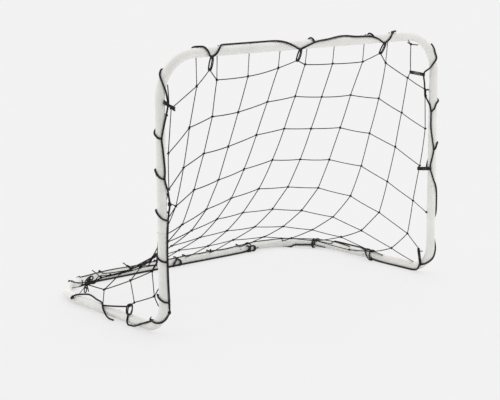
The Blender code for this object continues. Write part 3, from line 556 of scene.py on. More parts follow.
buttons = [make_button(name, *place) for name, place in JOINTS.items()]
print("buttons:", len(buttons))

# %% [markdown]
# ## The leaf springs
#
# Behind each button a strip of spring steel is bent to a V. Its solid has the
# right shape, so the mesh is a copy of it, with doubles merged, and its depth
# along the button's axis is read from the solid's box.

# %% Springs copied from their solids
def make_spring(name, out):
    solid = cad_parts["spring_" + name]
    bm = bmesh.new()
    bm.from_mesh(solid.data)
    bmesh.ops.transform(bm, matrix=solid.matrix_world, verts=bm.verts[:])
    ends = sorted(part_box("spring_" + name), key=lambda corner: corner.dot(out))
    depth = (ends[1] - ends[0]).dot(out)
    ob = piece("leaf_" + name, bm, BLUED, GOAL, ["spring_" + name], sharp=30)
    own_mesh(ob)
    return depth


depths = [make_spring(name, place[2]) for name, place in JOINTS.items()]
print("springs open by mm:", [round(d * 1000, 2) for d in depths])

# %% [markdown]
# ## Laid rope
#
# A rope of three strands has a section like a clover leaf, and the section turns
# as it runs on, one turn for each lay. Blender's curves do just that: a bevel
# object gives the section and the tilt of each point turns it. The curve is
# then made a mesh, its UV map is stretched to millimetres along the cord, and
# several cords can be gathered in one mesh.


# %% A clover section swept along a path
def section(diameter, strands, corners):
    """A closed curve for the section of a cord laid from several strands."""
    data = bpy.data.curves.new("section", "CURVE")
    data.dimensions = "2D"
    line = data.splines.new("POLY")
    line.use_cyclic_u = True
    line.points.add(corners - 1)
    for k, point in enumerate(line.points):
        a = -2 * math.pi * k / corners
        r = diameter / 2 * (1 - 0.10 * (1 - math.cos(strands * a)))
        point.co = (r * math.cos(a), r * math.sin(a), 0, 1)
    return placed("section", data)


def lay_cord(bm, points, diameter, strands=3, corners=15, lay=None, closed=False):
    """Adds a twisted cord through points to the bmesh."""
    lay = lay or diameter * 3.2
    data = bpy.data.curves.new("cord", "CURVE")
    data.dimensions = "3D"
    data.bevel_mode = "OBJECT"
    data.bevel_object = section(diameter, strands, corners)
    data.use_fill_caps = not closed
    line = data.splines.new("POLY")
    line.use_cyclic_u = closed
    line.points.add(len(points) - 1)
    length = 0.0
    for k, q in enumerate(points):
        if k:
            length += (Vector(q) - Vector(points[k - 1])).length
        line.points[k].co = (*q, 1)
        line.points[k].tilt = 2 * math.pi * length / lay
    ob = placed("cord", data)
    graph = bpy.context.evaluated_depsgraph_get()
    mesh = bpy.data.meshes.new_from_object(ob.evaluated_get(graph))
    old = len(bm.faces)
    bm.from_mesh(mesh)
    bm.faces.ensure_lookup_table()
    layer = bm.loops.layers.uv["UVMap"]
    for face in bm.faces[old:]:
        for corner in face.loops:
            corner[layer].uv.y *= length * 1000
    bevel = data.bevel_object
    bpy.data.objects.remove(ob, do_unlink=True)
    bpy.data.objects.remove(bevel, do_unlink=True)
    bpy.data.meshes.remove(mesh)
    return length


def smooth(points, step):
    """A smooth curve through points, with stations about one step apart.

    Each span is timed by the root of its length, so the curve doesn't swing
    out where points lie close together.
    """
    q = [Vector(p) for p in points]
    q = [q[0] * 2 - q[1]] + q + [q[-1] * 2 - q[-2]]
    out = []
    for p0, p1, p2, p3 in zip(q, q[1:], q[2:], q[3:]):
        t1 = max((p1 - p0).length, 1e-9) ** 0.5
        t2 = t1 + max((p2 - p1).length, 1e-9) ** 0.5
        t3 = t2 + max((p3 - p2).length, 1e-9) ** 0.5
        count = max(1, round((p2 - p1).length / step))
        for n in range(count):
            t = t1 + (t2 - t1) * n / count
            a1 = p0.lerp(p1, t / t1)
            a2 = p1.lerp(p2, (t - t1) / (t2 - t1))
            a3 = p2.lerp(p3, (t - t2) / (t3 - t2))
            out.append(a1.lerp(a2, t / t2).lerp(a2.lerp(a3, (t - t1) / (t3 - t1)),
                                                (t - t1) / (t2 - t1)))
    out.append(q[-2].copy())
    return out


# %% [markdown]
# ## Paths on the tubes
#
# Rope and ties lie on the tubes, so they are placed by how far along the tube
# they are and at what angle round it. Each side of the frame is one line: top
# bend, post, elbow, rail, corner, rear bar. Round it, angle 0 is the inner side
# and 90 is the front of the post, which becomes the underside of the rail.


# %% The line of each side, and of the crossbar
class SideRun:
    def __init__(self, s):
        self.s = s
        self.post_low = BASE_Z + FOOT_BEND_R
        self.post_high = BAR_Z - TOP_BEND_R
        self.rail_front = FRONT_Y + FOOT_BEND_R
        self.rail_back = REAR_Y - CORNER_BEND_R
        self.rear_out = POST_X - CORNER_BEND_R
        self.top_start = self.post_low - self.post_high
        self.rail_start = FOOT_BEND_R * math.pi / 2
        self.corner_start = self.rail_start + self.rail_back - self.rail_front
        self.rear_start = self.corner_start + CORNER_BEND_R * math.pi / 2

    def along(self, run, place):
        """Length along the side: heights, degrees of a bend, y or x outward."""
        return {"top": self.top_start - TOP_BEND_R * math.radians(place),
                "post": self.post_low - place,
                "elbow": FOOT_BEND_R * math.radians(place),
                "rail": self.rail_start + place - self.rail_front,
                "corner": self.corner_start + CORNER_BEND_R * math.radians(place),
                "rear": self.rear_start + self.rear_out - place}[run]

    def frame(self, length):
        """Centre, inward side and the way that is front, then down."""
        s = self.s
        if length < self.top_start:
            a = (self.top_start - length) / TOP_BEND_R
            spoke = X * s * math.cos(a) + Z * math.sin(a)
            pivot = Vector((s * (POST_X - TOP_BEND_R), FRONT_Y, self.post_high))
            return pivot + spoke * TOP_BEND_R, -spoke, -Y
        if length < 0:
            return Vector((s * POST_X, FRONT_Y, self.post_low - length)), X * -s, -Y
        if length < self.rail_start:
            a = length / FOOT_BEND_R
            spoke = -Y * math.cos(a) - Z * math.sin(a)
            pivot = Vector((s * POST_X, self.rail_front, self.post_low))
            return pivot + spoke * FOOT_BEND_R, X * -s, spoke
        if length < self.corner_start:
            y = self.rail_front + length - self.rail_start
            return Vector((s * POST_X, y, BASE_Z)), X * -s, -Z
        if length < self.rear_start:
            a = (length - self.corner_start) / CORNER_BEND_R
            spoke = X * s * math.cos(a) + Y * math.sin(a)
            pivot = Vector((s * self.rear_out, self.rail_back, BASE_Z))
            return pivot + spoke * CORNER_BEND_R, -spoke, -Z
        return Vector((s * (self.rear_out - length + self.rear_start), REAR_Y, BASE_Z)), -Y, -Z


class BarRun:
    """The crossbar, by x; round it, angle 0 is its back and 90 its top."""

    def along(self, run, place):
        return place

    def frame(self, length):
        return Vector((length, FRONT_Y, BAR_Z)), Y, Z


LEFT, RIGHT, BAR = SideRun(-1), SideRun(1), BarRun()
print("from the elbow to the rear bar, mm:", round(LEFT.rear_start * 1000))


def on_tube(run, length, angle, distance):
    """A point beside the tube, at an angle in degrees round it."""
    centre, e1, e2 = run.frame(length)
    a = math.radians(angle)
    return centre + (e1 * math.cos(a) + e2 * math.sin(a)) * distance


def spot(run, kind, place, angle, distance):
    """The same, at a place named by its stretch of the tube."""
    return on_tube(run, run.along(kind, place), angle, distance)


# %% [markdown]
# ## The border rope
#
# The rope was followed along the photograph: where it lies, which way it crosses
# the tube and where it turns round it. Its route is a short list, given stretch
# by stretch: a place along the tube, an angle round it and, where
# it stands off the tube, how many millimetres. A full turn adds 360 degrees to
# the angle. Only these three are blended between the places, so the rope stays
# on the tube. On the posts it makes half hitches: where the rope meets one, a
# strand leaves it to the post's outer edge, goes round the back and comes home
# to the rope.

# %% Routes of the border rope
ROPE_SEAT = TUBE_R + ROPE_D / 2 + 0.0002
CORD_STEP = 0.0022

ROUTES = {
    "rope_crossbar": (BAR, [
        ("bar", (-0.404, 310), (-0.422, 360), (-0.432, 412), (-0.422, 448), (-0.406, 466),
         (-0.398, 515), (-0.387, 578), (-0.379, 592), (-0.371, 578), (-0.354, 512), (-0.338, 462),
         (-0.322, 446), (-0.255, 444), (-0.206, 443), (-0.15, 444), (-0.105, 490), (-0.075, 536),
         (-0.047, 582), (-0.04, 590), (-0.03, 570), (0.015, 520), (0.075, 496), (0.146, 462),
         (0.186, 490), (0.25, 503), (0.283, 540), (0.311, 592), (0.318, 598), (0.326, 570),
         (0.345, 505), (0.356, 468))]),
    "rope_left_post": (LEFT, [
        ("top", (40, 250), (36, 212), (31, 188), (21, 120), (8, 58, 2)),
        ("post", (0.671, 38, 5), (0.645, 58, 2), (0.612, 90), (0.575, 116), (0.55, 108),
         (0.524, 99), (0.482, 88), (0.46, 92), (0.44, 72), (0.423, 46, 1), (0.384, 36, 5),
         (0.362, 42, 2), (0.34, 50), (0.315, 62), (0.286, 72), (0.25, 75), (0.221, 74),
         (0.19, 72), (0.161, 69), (0.128, 62), (0.101, 56)),
        ("elbow", (8, 50), (17, 45, 1.5), (22, 58), (28, 81), (34, 108), (42, 156), (51, 204),
         (59, 228), (76, 228)),
        ("rail", (-0.235, 186), (-0.205, 142), (-0.184, 128, 3), (-0.176, 134, 4.5),
         (-0.171, 160, 2), (-0.17, 198), (-0.166, 243, 1))]),
    "rope_right_post": (RIGHT, [
        ("top", (42, 165), (36, 135), (30, 110), (22, 106), (17, 62), (8, 8, 2), (1, -28, 12)),
        ("post", (0.674, -38, 15), (0.645, -39, 12), (0.607, -38, 9), (0.588, -22, 2), (0.575, 4),
         (0.553, 21), (0.525, 22), (0.499, 24), (0.46, 44), (0.426, 60), (0.4, 44), (0.365, 24),
         (0.345, 44), (0.325, 66), (0.308, 93), (0.285, 118), (0.262, 132), (0.235, 140),
         (0.21, 156), (0.188, 186), (0.14, 192), (0.112, 172)),
        ("elbow", (8, 140), (21, 120), (30, 87), (38, 57), (48, 26), (54, 6), (62, 28), (72, 50),
         (84, 52)),
        ("rail", (-0.211, 52), (-0.11, 52), (-0.076, 40), (-0.058, 16))]),
    "rope_rear": (LEFT, [
        ("corner", (66, 48), (90, 52)),
        ("rear", (0.2, 52), (0.048, 52), (-0.003, 48), (-0.12, 52), (-0.25, 52), (-0.288, 44),
         (-0.306, 18), (-0.3, -24, 1), (-0.288, -30, 3))]),
    "rope_rear_right": (RIGHT, [
        ("rear", (0.326, -165)),
        ("corner", (80, -190), (63, -230), (53, -290), (48, -340), (42, -344), (33, -351),
         (27, -357), (26, -400), (25, -460), (23, -515), (17, -530), (10, -518), (6, -482),
         (2, -467)),
        ("rail", (0.095, -468), (0.012, -468), (-0.012, -442), (-0.031, -423))]),
}

# where each strand leaves the rope, where it passes the post's outer edge, and
# where it comes home: height, angle and, where it stands off, millimetres
HITCHES = {
    "rope_left_post": [((0.575, 116), (0.585, 183), (0.640, 412, 3)),
                       ((0.460, 92), (0.481, 192), (0.415, 404, 1)),
                       ((0.340, 50), (0.365, 188), (0.362, 402, 2)),
                       ((0.221, 74), (0.234, 192), (0.206, 414)),
                       ((0.101, 56), (0.118, 186), (0.106, 410))],
    "rope_right_post": [((0.553, 21), (0.581, 87), (0.622, 322, 10)),
                        ((0.426, 60), (0.444, 105), (0.366, 384))],
}


def hitch_route(leave, edge, home):
    """Stations of the strand of a half hitch, on the post."""
    hidden = [("post", edge[0] + (home[0] - edge[0]) * up, edge[1] + (home[1] - edge[1]) * t)
              for t, up in ((0.35, 0.3), (0.58, 0.7), (0.78, 1.0))]
    return [("post", *leave),
            ("post", leave[0] * 0.7 + edge[0] * 0.3, (leave[1] + edge[1]) / 2),
            ("post", *edge), ("post", edge[0] + 0.006, edge[1] + 36)] + hidden + [("post", *home)]


def stations(stretches):
    """A route's stretches as one list of (kind, place, angle[, lift])."""
    return [(kind, *q) for kind, *places in stretches for q in places]


def route_points(run, route, seat, step=CORD_STEP):
    """Stations of a cord that follows a route on its tube."""
    round_mm = TUBE_R * 1000 * math.pi / 180
    keys = [Vector((run.along(q[0], q[1]) * 1000, q[2] * round_mm, q[3] if len(q) > 3 else 0))
            for q in route]
    points = [on_tube(run, k.x / 1000, k.y / round_mm, seat + max(k.z, 0) / 1000)
              for k in smooth(keys, step * 1000)]
    for p in points:
        p.z = max(p.z, seat - TUBE_R + 0.0001)
    return points


print("rope routes:", {n: len(stations(r[1])) for n, r in ROUTES.items()},
      "half hitches:", sum(len(h) for h in HITCHES.values()))

# %% [markdown]
# ## Knots
#
# Rope ends are stopped and strings are joined by small tight knots. A tight
# overhand knot is close to a trefoil, which has a formula, and a closed trefoil
# of the same cord set over the cord reads as its knot from every side. It is
# flattened a little and turned at random, but the same way each run.

# %% A tight knot of cord
dice = random.Random(7)


def knot(bm, centre, diameter, way, size=1.0, count=30, corners=7):
    """Adds a closed trefoil of cord round a point; way is the cord's direction."""
    way = Vector(way).normalized()
    side = way.orthogonal().normalized()
    side.rotate(Matrix.Rotation(dice.uniform(0, 2 * math.pi), 3, way))
    third = way.cross(side)
    scale = diameter * 0.36 * size
    points = []
    for k in range(count):
        t = 2 * math.pi * k / count
        a = math.sin(t) + 1.6 * math.sin(2 * t)
        b = math.cos(t) - 1.6 * math.cos(2 * t)
        c = -1.25 * math.sin(3 * t)
        points.append(Vector(centre) + (side * a + third * c * 0.9 + way * b * 0.85) * scale)
    lay_cord(bm, points, diameter * 0.86, strands=3, corners=corners, closed=True)


# %% [markdown]
# ## The five ropes
#
# The border rope is made in five lengths, because it goes round the crossbar, the
# posts and the base in different ways. Each is laid along its route, then its
# half hitches are added as strands of their own, which is simpler than one path
# that leaves the rope and comes back. The length of each rope is printed.

# %% Lay the ropes
def make_ropes():
    made = []
    for name, (run, route) in ROUTES.items():
        bm = bmesh.new()
        points = route_points(run, stations(route), ROPE_SEAT)
        print("   ", name, "mm of rope:", round(lay_cord(bm, points, ROPE_D) * 1000))
        if name == "rope_crossbar":
            # a stopper knot on top of the bar, and the two turns behind it
            end = points[-1]
            lay_cord(bm, smooth([end, end + Vector((0.006, 0.001, 0.0025)),
                                 end + Vector((0.017, 0.002, 0.003))], CORD_STEP), ROPE_D)
            knot(bm, end + Z * 0.0005, ROPE_D, X, 0.75)
            for turn in (((0.012, 162), (0.011, 96, 1), (0.012, 55), (0.006, 0), (-0.012, -40)),
                         ((0.264, 150), (0.260, 96, 1), (0.262, 55), (0.268, 0), (0.284, -40))):
                lay_cord(bm, route_points(run, [("bar", *q) for q in turn], ROPE_SEAT), ROPE_D)
        for strand in HITCHES.get(name, ()):
            lay_cord(bm, route_points(run, hitch_route(*strand), ROPE_SEAT), ROPE_D)
        if name == "rope_left_post":
            knot(bm, spot(LEFT, "elbow", 17, 45, ROPE_SEAT + 0.001), ROPE_D, Z, 0.75)
        if name == "rope_right_post":
            knot(bm, spot(RIGHT, "post", 0.603, -38, ROPE_SEAT + 0.008), ROPE_D, Z, 0.7)
        if name == "rope_rear":
            knot(bm, spot(LEFT, "rear", -0.303, 30, ROPE_SEAT + 0.002), ROPE_D, X, 0.8)
        made.append(piece("border_" + name, bm, ROPE, GOAL, [name], sharp=60))
    return made


ropes = make_ropes()
print("ropes:", {r.name: len(r.data.polygons) for r in ropes})

# %% [markdown]
# ## The loose end
#
# The last stretch of rope lies loose over the left rail and ends in a knot. It
# follows no tube, so its route is written as points in space: up from the floor,
# over the rail, along it and down again.

# %% The loose end over the left rail
def make_loose_end():
    x = -POST_X
    top = BASE_Z + TUBE_R + ROPE_D / 2
    route = [(x - 0.0215, -0.104, ROPE_D / 2 + 0.0010), (x - 0.0212, -0.078, 0.0050),
             (x - 0.0185, -0.055, 0.0150), (x - 0.0150, -0.040, 0.0260),
             (x - 0.0020, -0.018, top + 0.0008), (x + 0.0100, 0.030, top + 0.0010),
             (x + 0.0140, 0.078, top + 0.0060), (x + 0.0060, 0.104, top + 0.0030),
             (x - 0.0120, 0.122, 0.0330), (x - 0.0210, 0.128, 0.0220)]
    bm = bmesh.new()
    points = smooth(route, CORD_STEP)
    length = lay_cord(bm, points, ROPE_D)
    ob = piece("border_rope_left_end", bm, ROPE, GOAL, ["rope_left_end"], sharp=60)
    bm = bmesh.new()
    knot(bm, points[-4], ROPE_D, points[-1] - points[-6], 0.9)
    stop = piece("border_rope_left_end_knot", bm, ROPE, GOAL, [], sharp=60)
    return length


print("loose end, mm of rope:", round(make_loose_end() * 1000))

# %% [markdown]
# ## The net's shape
#
# The net hangs from the crossbar to the rear bar. Five hanging lines, each given
# by five points as shares of the depth and the height, were fitted to the
# photograph; every column of knots is blended from them, and its knots are
# counted off along it, one mesh apart, as they are in real netting. A real net is
# never quite even: where a tie or a slack string pulls a knot aside in the
# photograph, a few knots are moved one by one, by centimetres.

# %% Knots of the net
NET_STANDOFF = 0.0232
NET_EDGE_ANGLE = 38
NET_COLUMNS = 11
NET_CENTRE = 0.012
NET_LINES = (
    (-0.82, ((0.020, 0.885), (0.085, 0.590), (0.240, 0.315), (0.530, 0.150), (0.865, 0.035))),
    (-0.41, ((0.035, 0.895), (0.175, 0.625), (0.340, 0.365), (0.620, 0.180), (0.925, 0.055))),
    (0.01, ((0.040, 0.920), (0.200, 0.655), (0.380, 0.400), (0.645, 0.195), (0.925, 0.058))),
    (0.43, ((0.035, 0.905), (0.180, 0.635), (0.345, 0.370), (0.615, 0.177), (0.925, 0.055))),
    (0.82, ((0.040, 0.830), (0.120, 0.535), (0.225, 0.255), (0.520, 0.105), (0.845, 0.040))),
)
LAST = NET_COLUMNS - 1
BACK = REAR_Y - FRONT_Y


def blend4(a, b, c, d, t):
    return 0.5 * (2 * b + (c - a) * t + (2 * a - 5 * b + 4 * c - d) * t * t
                  + (3 * b - a - 3 * c + d) * t ** 3)


def column_x(j):
    t = (j - LAST / 2) / (LAST / 2)
    return NET_CENTRE + (POST_X - NET_CENTRE) * t * (1.054 - 0.054 * t ** 4)


def net_line(x):
    """The hanging line at one place across the mouth."""
    share = x / POST_X
    keys = [k for k, _ in NET_LINES]
    k = max(0, min(len(keys) - 2, sum(share > q for q in keys) - 1))
    t = (share - keys[k]) / (keys[k + 1] - keys[k])
    around = [NET_LINES[max(0, min(len(keys) - 1, k + m))][1] for m in (-1, 0, 1, 2)]
    rows = []
    for n in range(5):
        share_back = blend4(*(line[n][0] for line in around), t)
        share_up = blend4(*(line[n][1] for line in around), t)
        rows.append(Vector((x, FRONT_Y + share_back * BACK, share_up * BAR_Z)))
    rows = [rows[0] * 2 - rows[1]] + rows + [rows[-1] * 2 - rows[-2]]
    return [blend4(a, b, c, d, n / 24) for a, b, c, d in zip(rows, rows[1:], rows[2:], rows[3:])
            for n in range(24)] + [rows[-2]]


def walk(line, step):
    """Points one step apart, counted along the line."""
    out, left = [line[0]], step
    for a, b in zip(line, line[1:]):
        length = (b - a).length
        while length >= left:
            a = a.lerp(b, left / length)
            length = (b - a).length
            out.append(a)
            left = step
        left -= length
    return out


def net_knots():
    """Knots by (column, row). Columns 0 and the last run beside the posts."""
    knots = {}
    for j in range(1, LAST):
        for i, p in enumerate(walk(net_line(column_x(j)), NET_MESH), 1):
            knots[j, i] = p
    a = math.radians(NET_EDGE_ANGLE)
    for j, s, drop, near in ((0, -1, 0.055, 1), (LAST, 1, 0.050, LAST - 1)):
        x = s * (POST_X - NET_STANDOFF * math.cos(a))
        for i in (1, 2, 3):
            knots[j, i] = Vector((x, FRONT_Y + NET_STANDOFF * math.sin(a), knots[near, i].z - drop))
    for j, i, inset, share, height in (
            (0, 4, 0.018, 0.065, 0.368), (0, 5, 0.012, 0.178, 0.254),
            (0, 6, 0.010, 0.332, 0.180), (0, 7, 0.014, 0.500, 0.118),
            (0, 8, 0.016, 0.665, 0.072), (LAST, 4, 0.022, 0.095, 0.306),
            (LAST, 5, 0.026, 0.124, 0.162), (LAST, 6, 0.024, 0.240, 0.082)):
        s = -1 if j == 0 else 1
        knots[j, i] = Vector((s * (POST_X - inset), FRONT_Y + share * BACK, height * BAR_Z))
    for i, y, angle, off in ((7, -0.078, -58, 0.0235), (8, 0.045, -15, 0.0168)):
        knots[LAST, i] = spot(RIGHT, "rail", y, angle, off)
    return knots


# column: {row: (sideways, back, up)}, mm
PULLED = {
    0: {1: (34, 4, -6), 2: (18, 0, -14), 3: (18, 0, 0), 5: (4, -62, -6), 6: (4, -88, 32),
        7: (2, -93, 44), 8: (0, -96, 48)},
    1: {1: (22, 0, -4), 2: (8, 0, -6), 3: (4, 0, -9), 4: (4, 0, -16), 5: (0, 0, -10),
        6: (13, 0, -26), 7: (13, 0, -12), 8: (8, 0, 0)},
    2: {1: (-8, 0, 5), 2: (0, 0, 9), 3: (-4, 0, 9), 4: (-8, 0, 5), 5: (-9, 0, -8), 7: (5, 0, -14),
        8: (0, 0, -13)},
    3: {6: (7, 0, -2)},
    4: {1: (6, 0, 5), 2: (6, 0, 6), 3: (6, 0, 6), 6: (8, 0, 2), 7: (11, 0, -1)},
    5: {2: (6, 0, 5), 3: (8, 0, 5), 4: (6, 0, 5), 5: (4, 0, 4), 6: (5, 0, 0), 7: (10, 0, 0),
        8: (8, 0, -6)},
    6: {1: (-2, 0, -4), 2: (0, 0, -4), 3: (4, 0, -3), 4: (6, 0, -2), 5: (9, 0, 0), 6: (12, 0, 0),
        7: (12, 0, 0)},
    7: {1: (12, 0, 5), 2: (6, 0, 6), 3: (8, 0, 5), 4: (6, 0, 4), 5: (12, 0, 4), 6: (13, 0, 0),
        7: (14, 0, 0), 8: (19, 0, 0)},
    8: {1: (4, 0, 27), 2: (10, 0, 24), 3: (6, 0, 20), 4: (4, 0, 21), 5: (6, 0, 20), 6: (9, 0, 13),
        7: (9, 0, 11), 8: (11, 0, 4)},
    9: {4: (-10, 0, -2), 5: (-4, 0, -4), 6: (4, 0, -8), 7: (11, 0, 0)},
    10: {1: (-6, 0, 8), 2: (-2, 0, -6), 3: (-21, 4, -12), 7: (-9, 0, 0)},
}


def pulled_knots():
    knots = net_knots()
    for j, rows in PULLED.items():
        for i, shift in rows.items():
            knots[j, i] = knots[j, i] + Vector([mm / 1000 for mm in shift])
    return knots


KNOTS = pulled_knots()
ROWS = {j: max(i for jj, i in KNOTS if jj == j) for j in range(NET_COLUMNS)}
print("net knots:", len(KNOTS), "rows per column:", ROWS)

# %% [markdown]
# ## Strings
#
# The netting is twisted string knotted at every crossing. A span of string
# between two knots is nearly straight where the net pulls and sags a little
# where it is slack, so each span gets a small bow downwards. At the crossbar
# the strings pass up behind the bar, and at the bottom they run over the top of
# the rear bar. Three spans of the top row are pulled up by the ties that hang
# from the crossbar.

# %% Lay the strings, panel by panel
LEFT_CUT, RIGHT_CUT, ROW_CUT = 3, 8, 5
HANGERS = {"left": (Vector((-0.380, -0.333, 0.7555)), Vector((-0.378, -0.341, 0.7895)), (1, 1)),
           "middle": (Vector((-0.045, -0.333, 0.7600)), Vector((-0.040, -0.341, 0.7895)), (4, 1)),
           "right": (Vector((0.306, -0.333, 0.7600)), Vector((0.318, -0.340, 0.7885)), (7, 1))}
RIGHT_BEND_TIE = Vector((0.010, -0.004, 0.018))
SPAN_STEP = 0.0024
WRAP_STEP = 0.0025


def panel(key):
    part = "left" if key[0] < LEFT_CUT else ("right" if key[0] >= RIGHT_CUT else "middle")
    return "net_%s_%s" % (part, "upper" if key[1] < ROW_CUT else "lower")


def string(bm, points, size=1.0):
    lay_cord(bm, points, STRING_D * size, strands=2, corners=6, lay=0.0085)


def span(bm, a, b, slack=0.012, size=1.0):
    """One string from knot to knot, with a small bow."""
    length = (b - a).length
    bow = Vector((dice.uniform(-1, 1), dice.uniform(-1, 1), 0)) * length * 0.008
    bow -= Z * length * slack * dice.uniform(0.5, 1.5)
    count = max(6, round(length / SPAN_STEP))
    string(bm, [a.lerp(b, t) + bow * 4 * t * (1 - t)
                for t in (k / count for k in range(count + 1))], size)


def caught(bm, start, run, length, first, last, size=1.0):
    """A string from a knot to a tube, over its side from one angle to another."""
    seat = TUBE_R + STRING_D / 2
    steps = max(2, round(abs(last - first) / 9))
    wrap = [on_tube(run, length, first + (last - first) * k / steps, seat)
            for k in range(steps + 1)]
    string(bm, smooth([start] + wrap, WRAP_STEP), size)
    knot(bm, wrap[-1], STRING_D, X, 0.8)


def base_place(p):
    """The length along the base at which a bottom knot comes over the tube."""
    bend_x = POST_X - CORNER_BEND_R
    run = LEFT if p.x < 0 else RIGHT
    if abs(p.x) > bend_x:
        angle = math.degrees(math.atan2(p.y - REAR_Y + CORNER_BEND_R, abs(p.x) - bend_x))
        return run, run.along("corner", max(0, min(90, angle)))
    return run, run.along("rear", abs(p.x))


def make_net():
    made = []
    for name in sorted({panel(key) for key in KNOTS}):
        bm = bmesh.new()
        for key in sorted(KNOTS):
            if panel(key) != name:
                continue
            j, i = key
            lifted = [h[0] for h in HANGERS.values() if h[2] == key]
            for other in ((j + 1, i), (j, i + 1)):
                if other in KNOTS:
                    stops = [KNOTS[key]] + (lifted if other[0] > j else []) + [KNOTS[other]]
                    for p, q in zip(stops, stops[1:]):
                        span(bm, p, q)
            if i == 1 and 0 < j < LAST - 1:
                caught(bm, KNOTS[key], BAR, KNOTS[key].x, -8, 48)
            if i == ROWS[j] and 0 < j < LAST:
                caught(bm, KNOTS[key], *base_place(KNOTS[key]), -44, -118)
            knot(bm, KNOTS[key], STRING_D, X, 1.0, count=24, corners=6)
        if name == "net_right_upper":
            caught(bm, KNOTS[LAST, 4], RIGHT, RIGHT.along("post", 0.212), -16, -60)
            # the top string's tail, knotted in front of the bend
            top = Vector((0.4320, -0.345, 0.7815))
            ends = [top + Vector(q) for q in ((-0.0120, 0.003, 0.0060), (0, 0, 0),
                                              (0.0120, -0.001, -0.0020), (0.0310, -0.001, -0.0045))]
            lay_cord(bm, smooth(ends, CORD_STEP), TIE_D, corners=9)
            knot(bm, top, STRING_D, Z, 1.0)
            held = KNOTS[9, 1] + RIGHT_BEND_TIE
            span(bm, KNOTS[9, 1], held, 0.0)
            span(bm, held, top, 0.0)
            span(bm, top, Vector((top.x + 0.002, FRONT_Y + TUBE_R, BAR_Z)), 0.0)
        if name == "net_right_lower":
            span(bm, KNOTS[LAST, 5], Vector((0.528, -0.304, 0.088)))
            span(bm, KNOTS[LAST, 6], spot(RIGHT, "rail", -0.262, -62, TUBE_R + STRING_D / 2))
        made.append(piece("string_" + name, bm, STRING, GOAL, [name], sharp=70))
    return made


net = make_net()
print("net:", {n.name: len(n.data.polygons) for n in net})

# %% [markdown]
# ## The lower edge
#
# The net's lower edge is closed by one more string, threaded along the rear bar
# from corner to corner. It is wavy where it isn't held, so it follows a route as
# the rope does, with an angle that goes up and down a little.

# %% The string along the rear bar
def make_lower_edge():
    bm = bmesh.new()
    for run, route in ((LEFT, [("corner", (66, -70), (78, -60), (90, -66)),
                               ("rear", (0.28, -74), (0.20, -62), (0.12, -70), (0.04, -60),
                                (-0.03, -66), (-0.09, -58), (-0.13, -64), (-0.19, -52),
                                (-0.24, -60), (-0.29, -70))]),
                       (RIGHT, [("rear", (0.29, -70), (0.335, -82)),
                                ("corner", (76, -74), (60, -84), (44, -76), (30, -84), (12, -92)),
                                ("rail", (0.105, -80), (0.05, -60))])):
        string(bm, route_points(run, stations(route), TUBE_R + STRING_D / 2))
    knot(bm, spot(LEFT, "rear", -0.13, -64, TUBE_R + STRING_D), STRING_D, X, 1.1)
    return piece("string_lower_edge", bm, STRING, GOAL, [], sharp=70)


lower_edge = make_lower_edge()
print("lower edge:", len(lower_edge.data.polygons))

# %% [markdown]
# ## The low net on the left side
#
# Two more rows of knots close the side between the net's edge and the rail.
# The net's edge itself runs from the post down to the rear corner, where many
# strings and the tie gather in one dark tangle, so there it is a bundle.

# %% Strings of the left side
CLUSTER = Vector((-0.456, 0.222, 0.030))


def make_side_net():
    a, b, c, d, e, f, ring = map(Vector, (
        (-0.540, -0.004, 0.072), (-0.540, -0.144, 0.127), (-0.541, -0.256, 0.176),
        (-0.541, -0.163, 0.064), (-0.542, -0.266, 0.103), (-0.568, -0.036, 0.0335),
        (-0.556, -0.152, 0.052)))
    bm = bmesh.new()
    up_c, up_b, up_a, low = (KNOTS[0, i] for i in (5, 6, 7, 8))
    for p, q in ((a, b), (b, c), (b, d), (c, e), (d, e), (a, f), (ring, d), (c, up_c), (b, up_b),
                 (a, up_a), (a, CLUSTER)):
        span(bm, p, q, 0.004)
    span(bm, f, ring, 0.004, 1.5)
    span(bm, c, c.lerp(up_c, 0.8) + Y * 0.004, 0.0, 1.3)
    # the bundle of the net's edge: strings that wind round each other
    line = smooth([up_c, up_b, up_a, low, low.lerp(CLUSTER, 0.5) - Z * 0.006, CLUSTER], 0.004)
    for phase, first in ((0.0, 0.0), (3.1, 0.38)):
        wound = []
        for k, p in enumerate(line):
            t = k / (len(line) - 1)
            if t < first:
                continue
            r = 0.0020 + 0.0045 * math.sin(math.pi * t) * (0.5 + 0.5 * math.sin(9 * t + phase))
            wound.append(p + Vector((0, math.cos(7 * t + phase), math.sin(7 * t + phase))) * r)
        string(bm, wound, 0.9)
    # strands from the bundle up to the half hitch, and in to the post
    span(bm, up_c.lerp(up_b, 0.5), Vector((-0.546, -0.283, 0.236)), 0.0)
    for start, z, angle in ((e, 0.141, -100), (e, 0.085, -110)):
        caught(bm, start, LEFT, LEFT.along("post", z), angle, angle + 60)
    # loose tails of string
    for start, way in ((up_b.lerp(up_a, 0.45), Vector((0.006, 0.050, 0.012))),
                       (low, Vector((-0.004, 0.040, 0.016)))):
        span(bm, start, start + way, -0.03)
    for p in (a, b, c, d, e, f, up_b, up_a):
        knot(bm, p, STRING_D, Y, 1.0, count=24, corners=6)
    return piece("string_net_left_side", bm, STRING, GOAL, ["net_left_side"], sharp=70)


side_net = make_side_net()
print("side net:", len(side_net.data.polygons))

# %% [markdown]
# ## Ties
#
# Net, rope and tubes are held together by short thick cords. Most are long
# loops that link the rope with a knot of the net, some are two turns round the
# tube, drawn tight at one point and spread at the other. The photograph shows
# which is where, and the loose ends that are left.

# %% Loops, turns and tails of tie cord
TIE_STEP = 0.0020


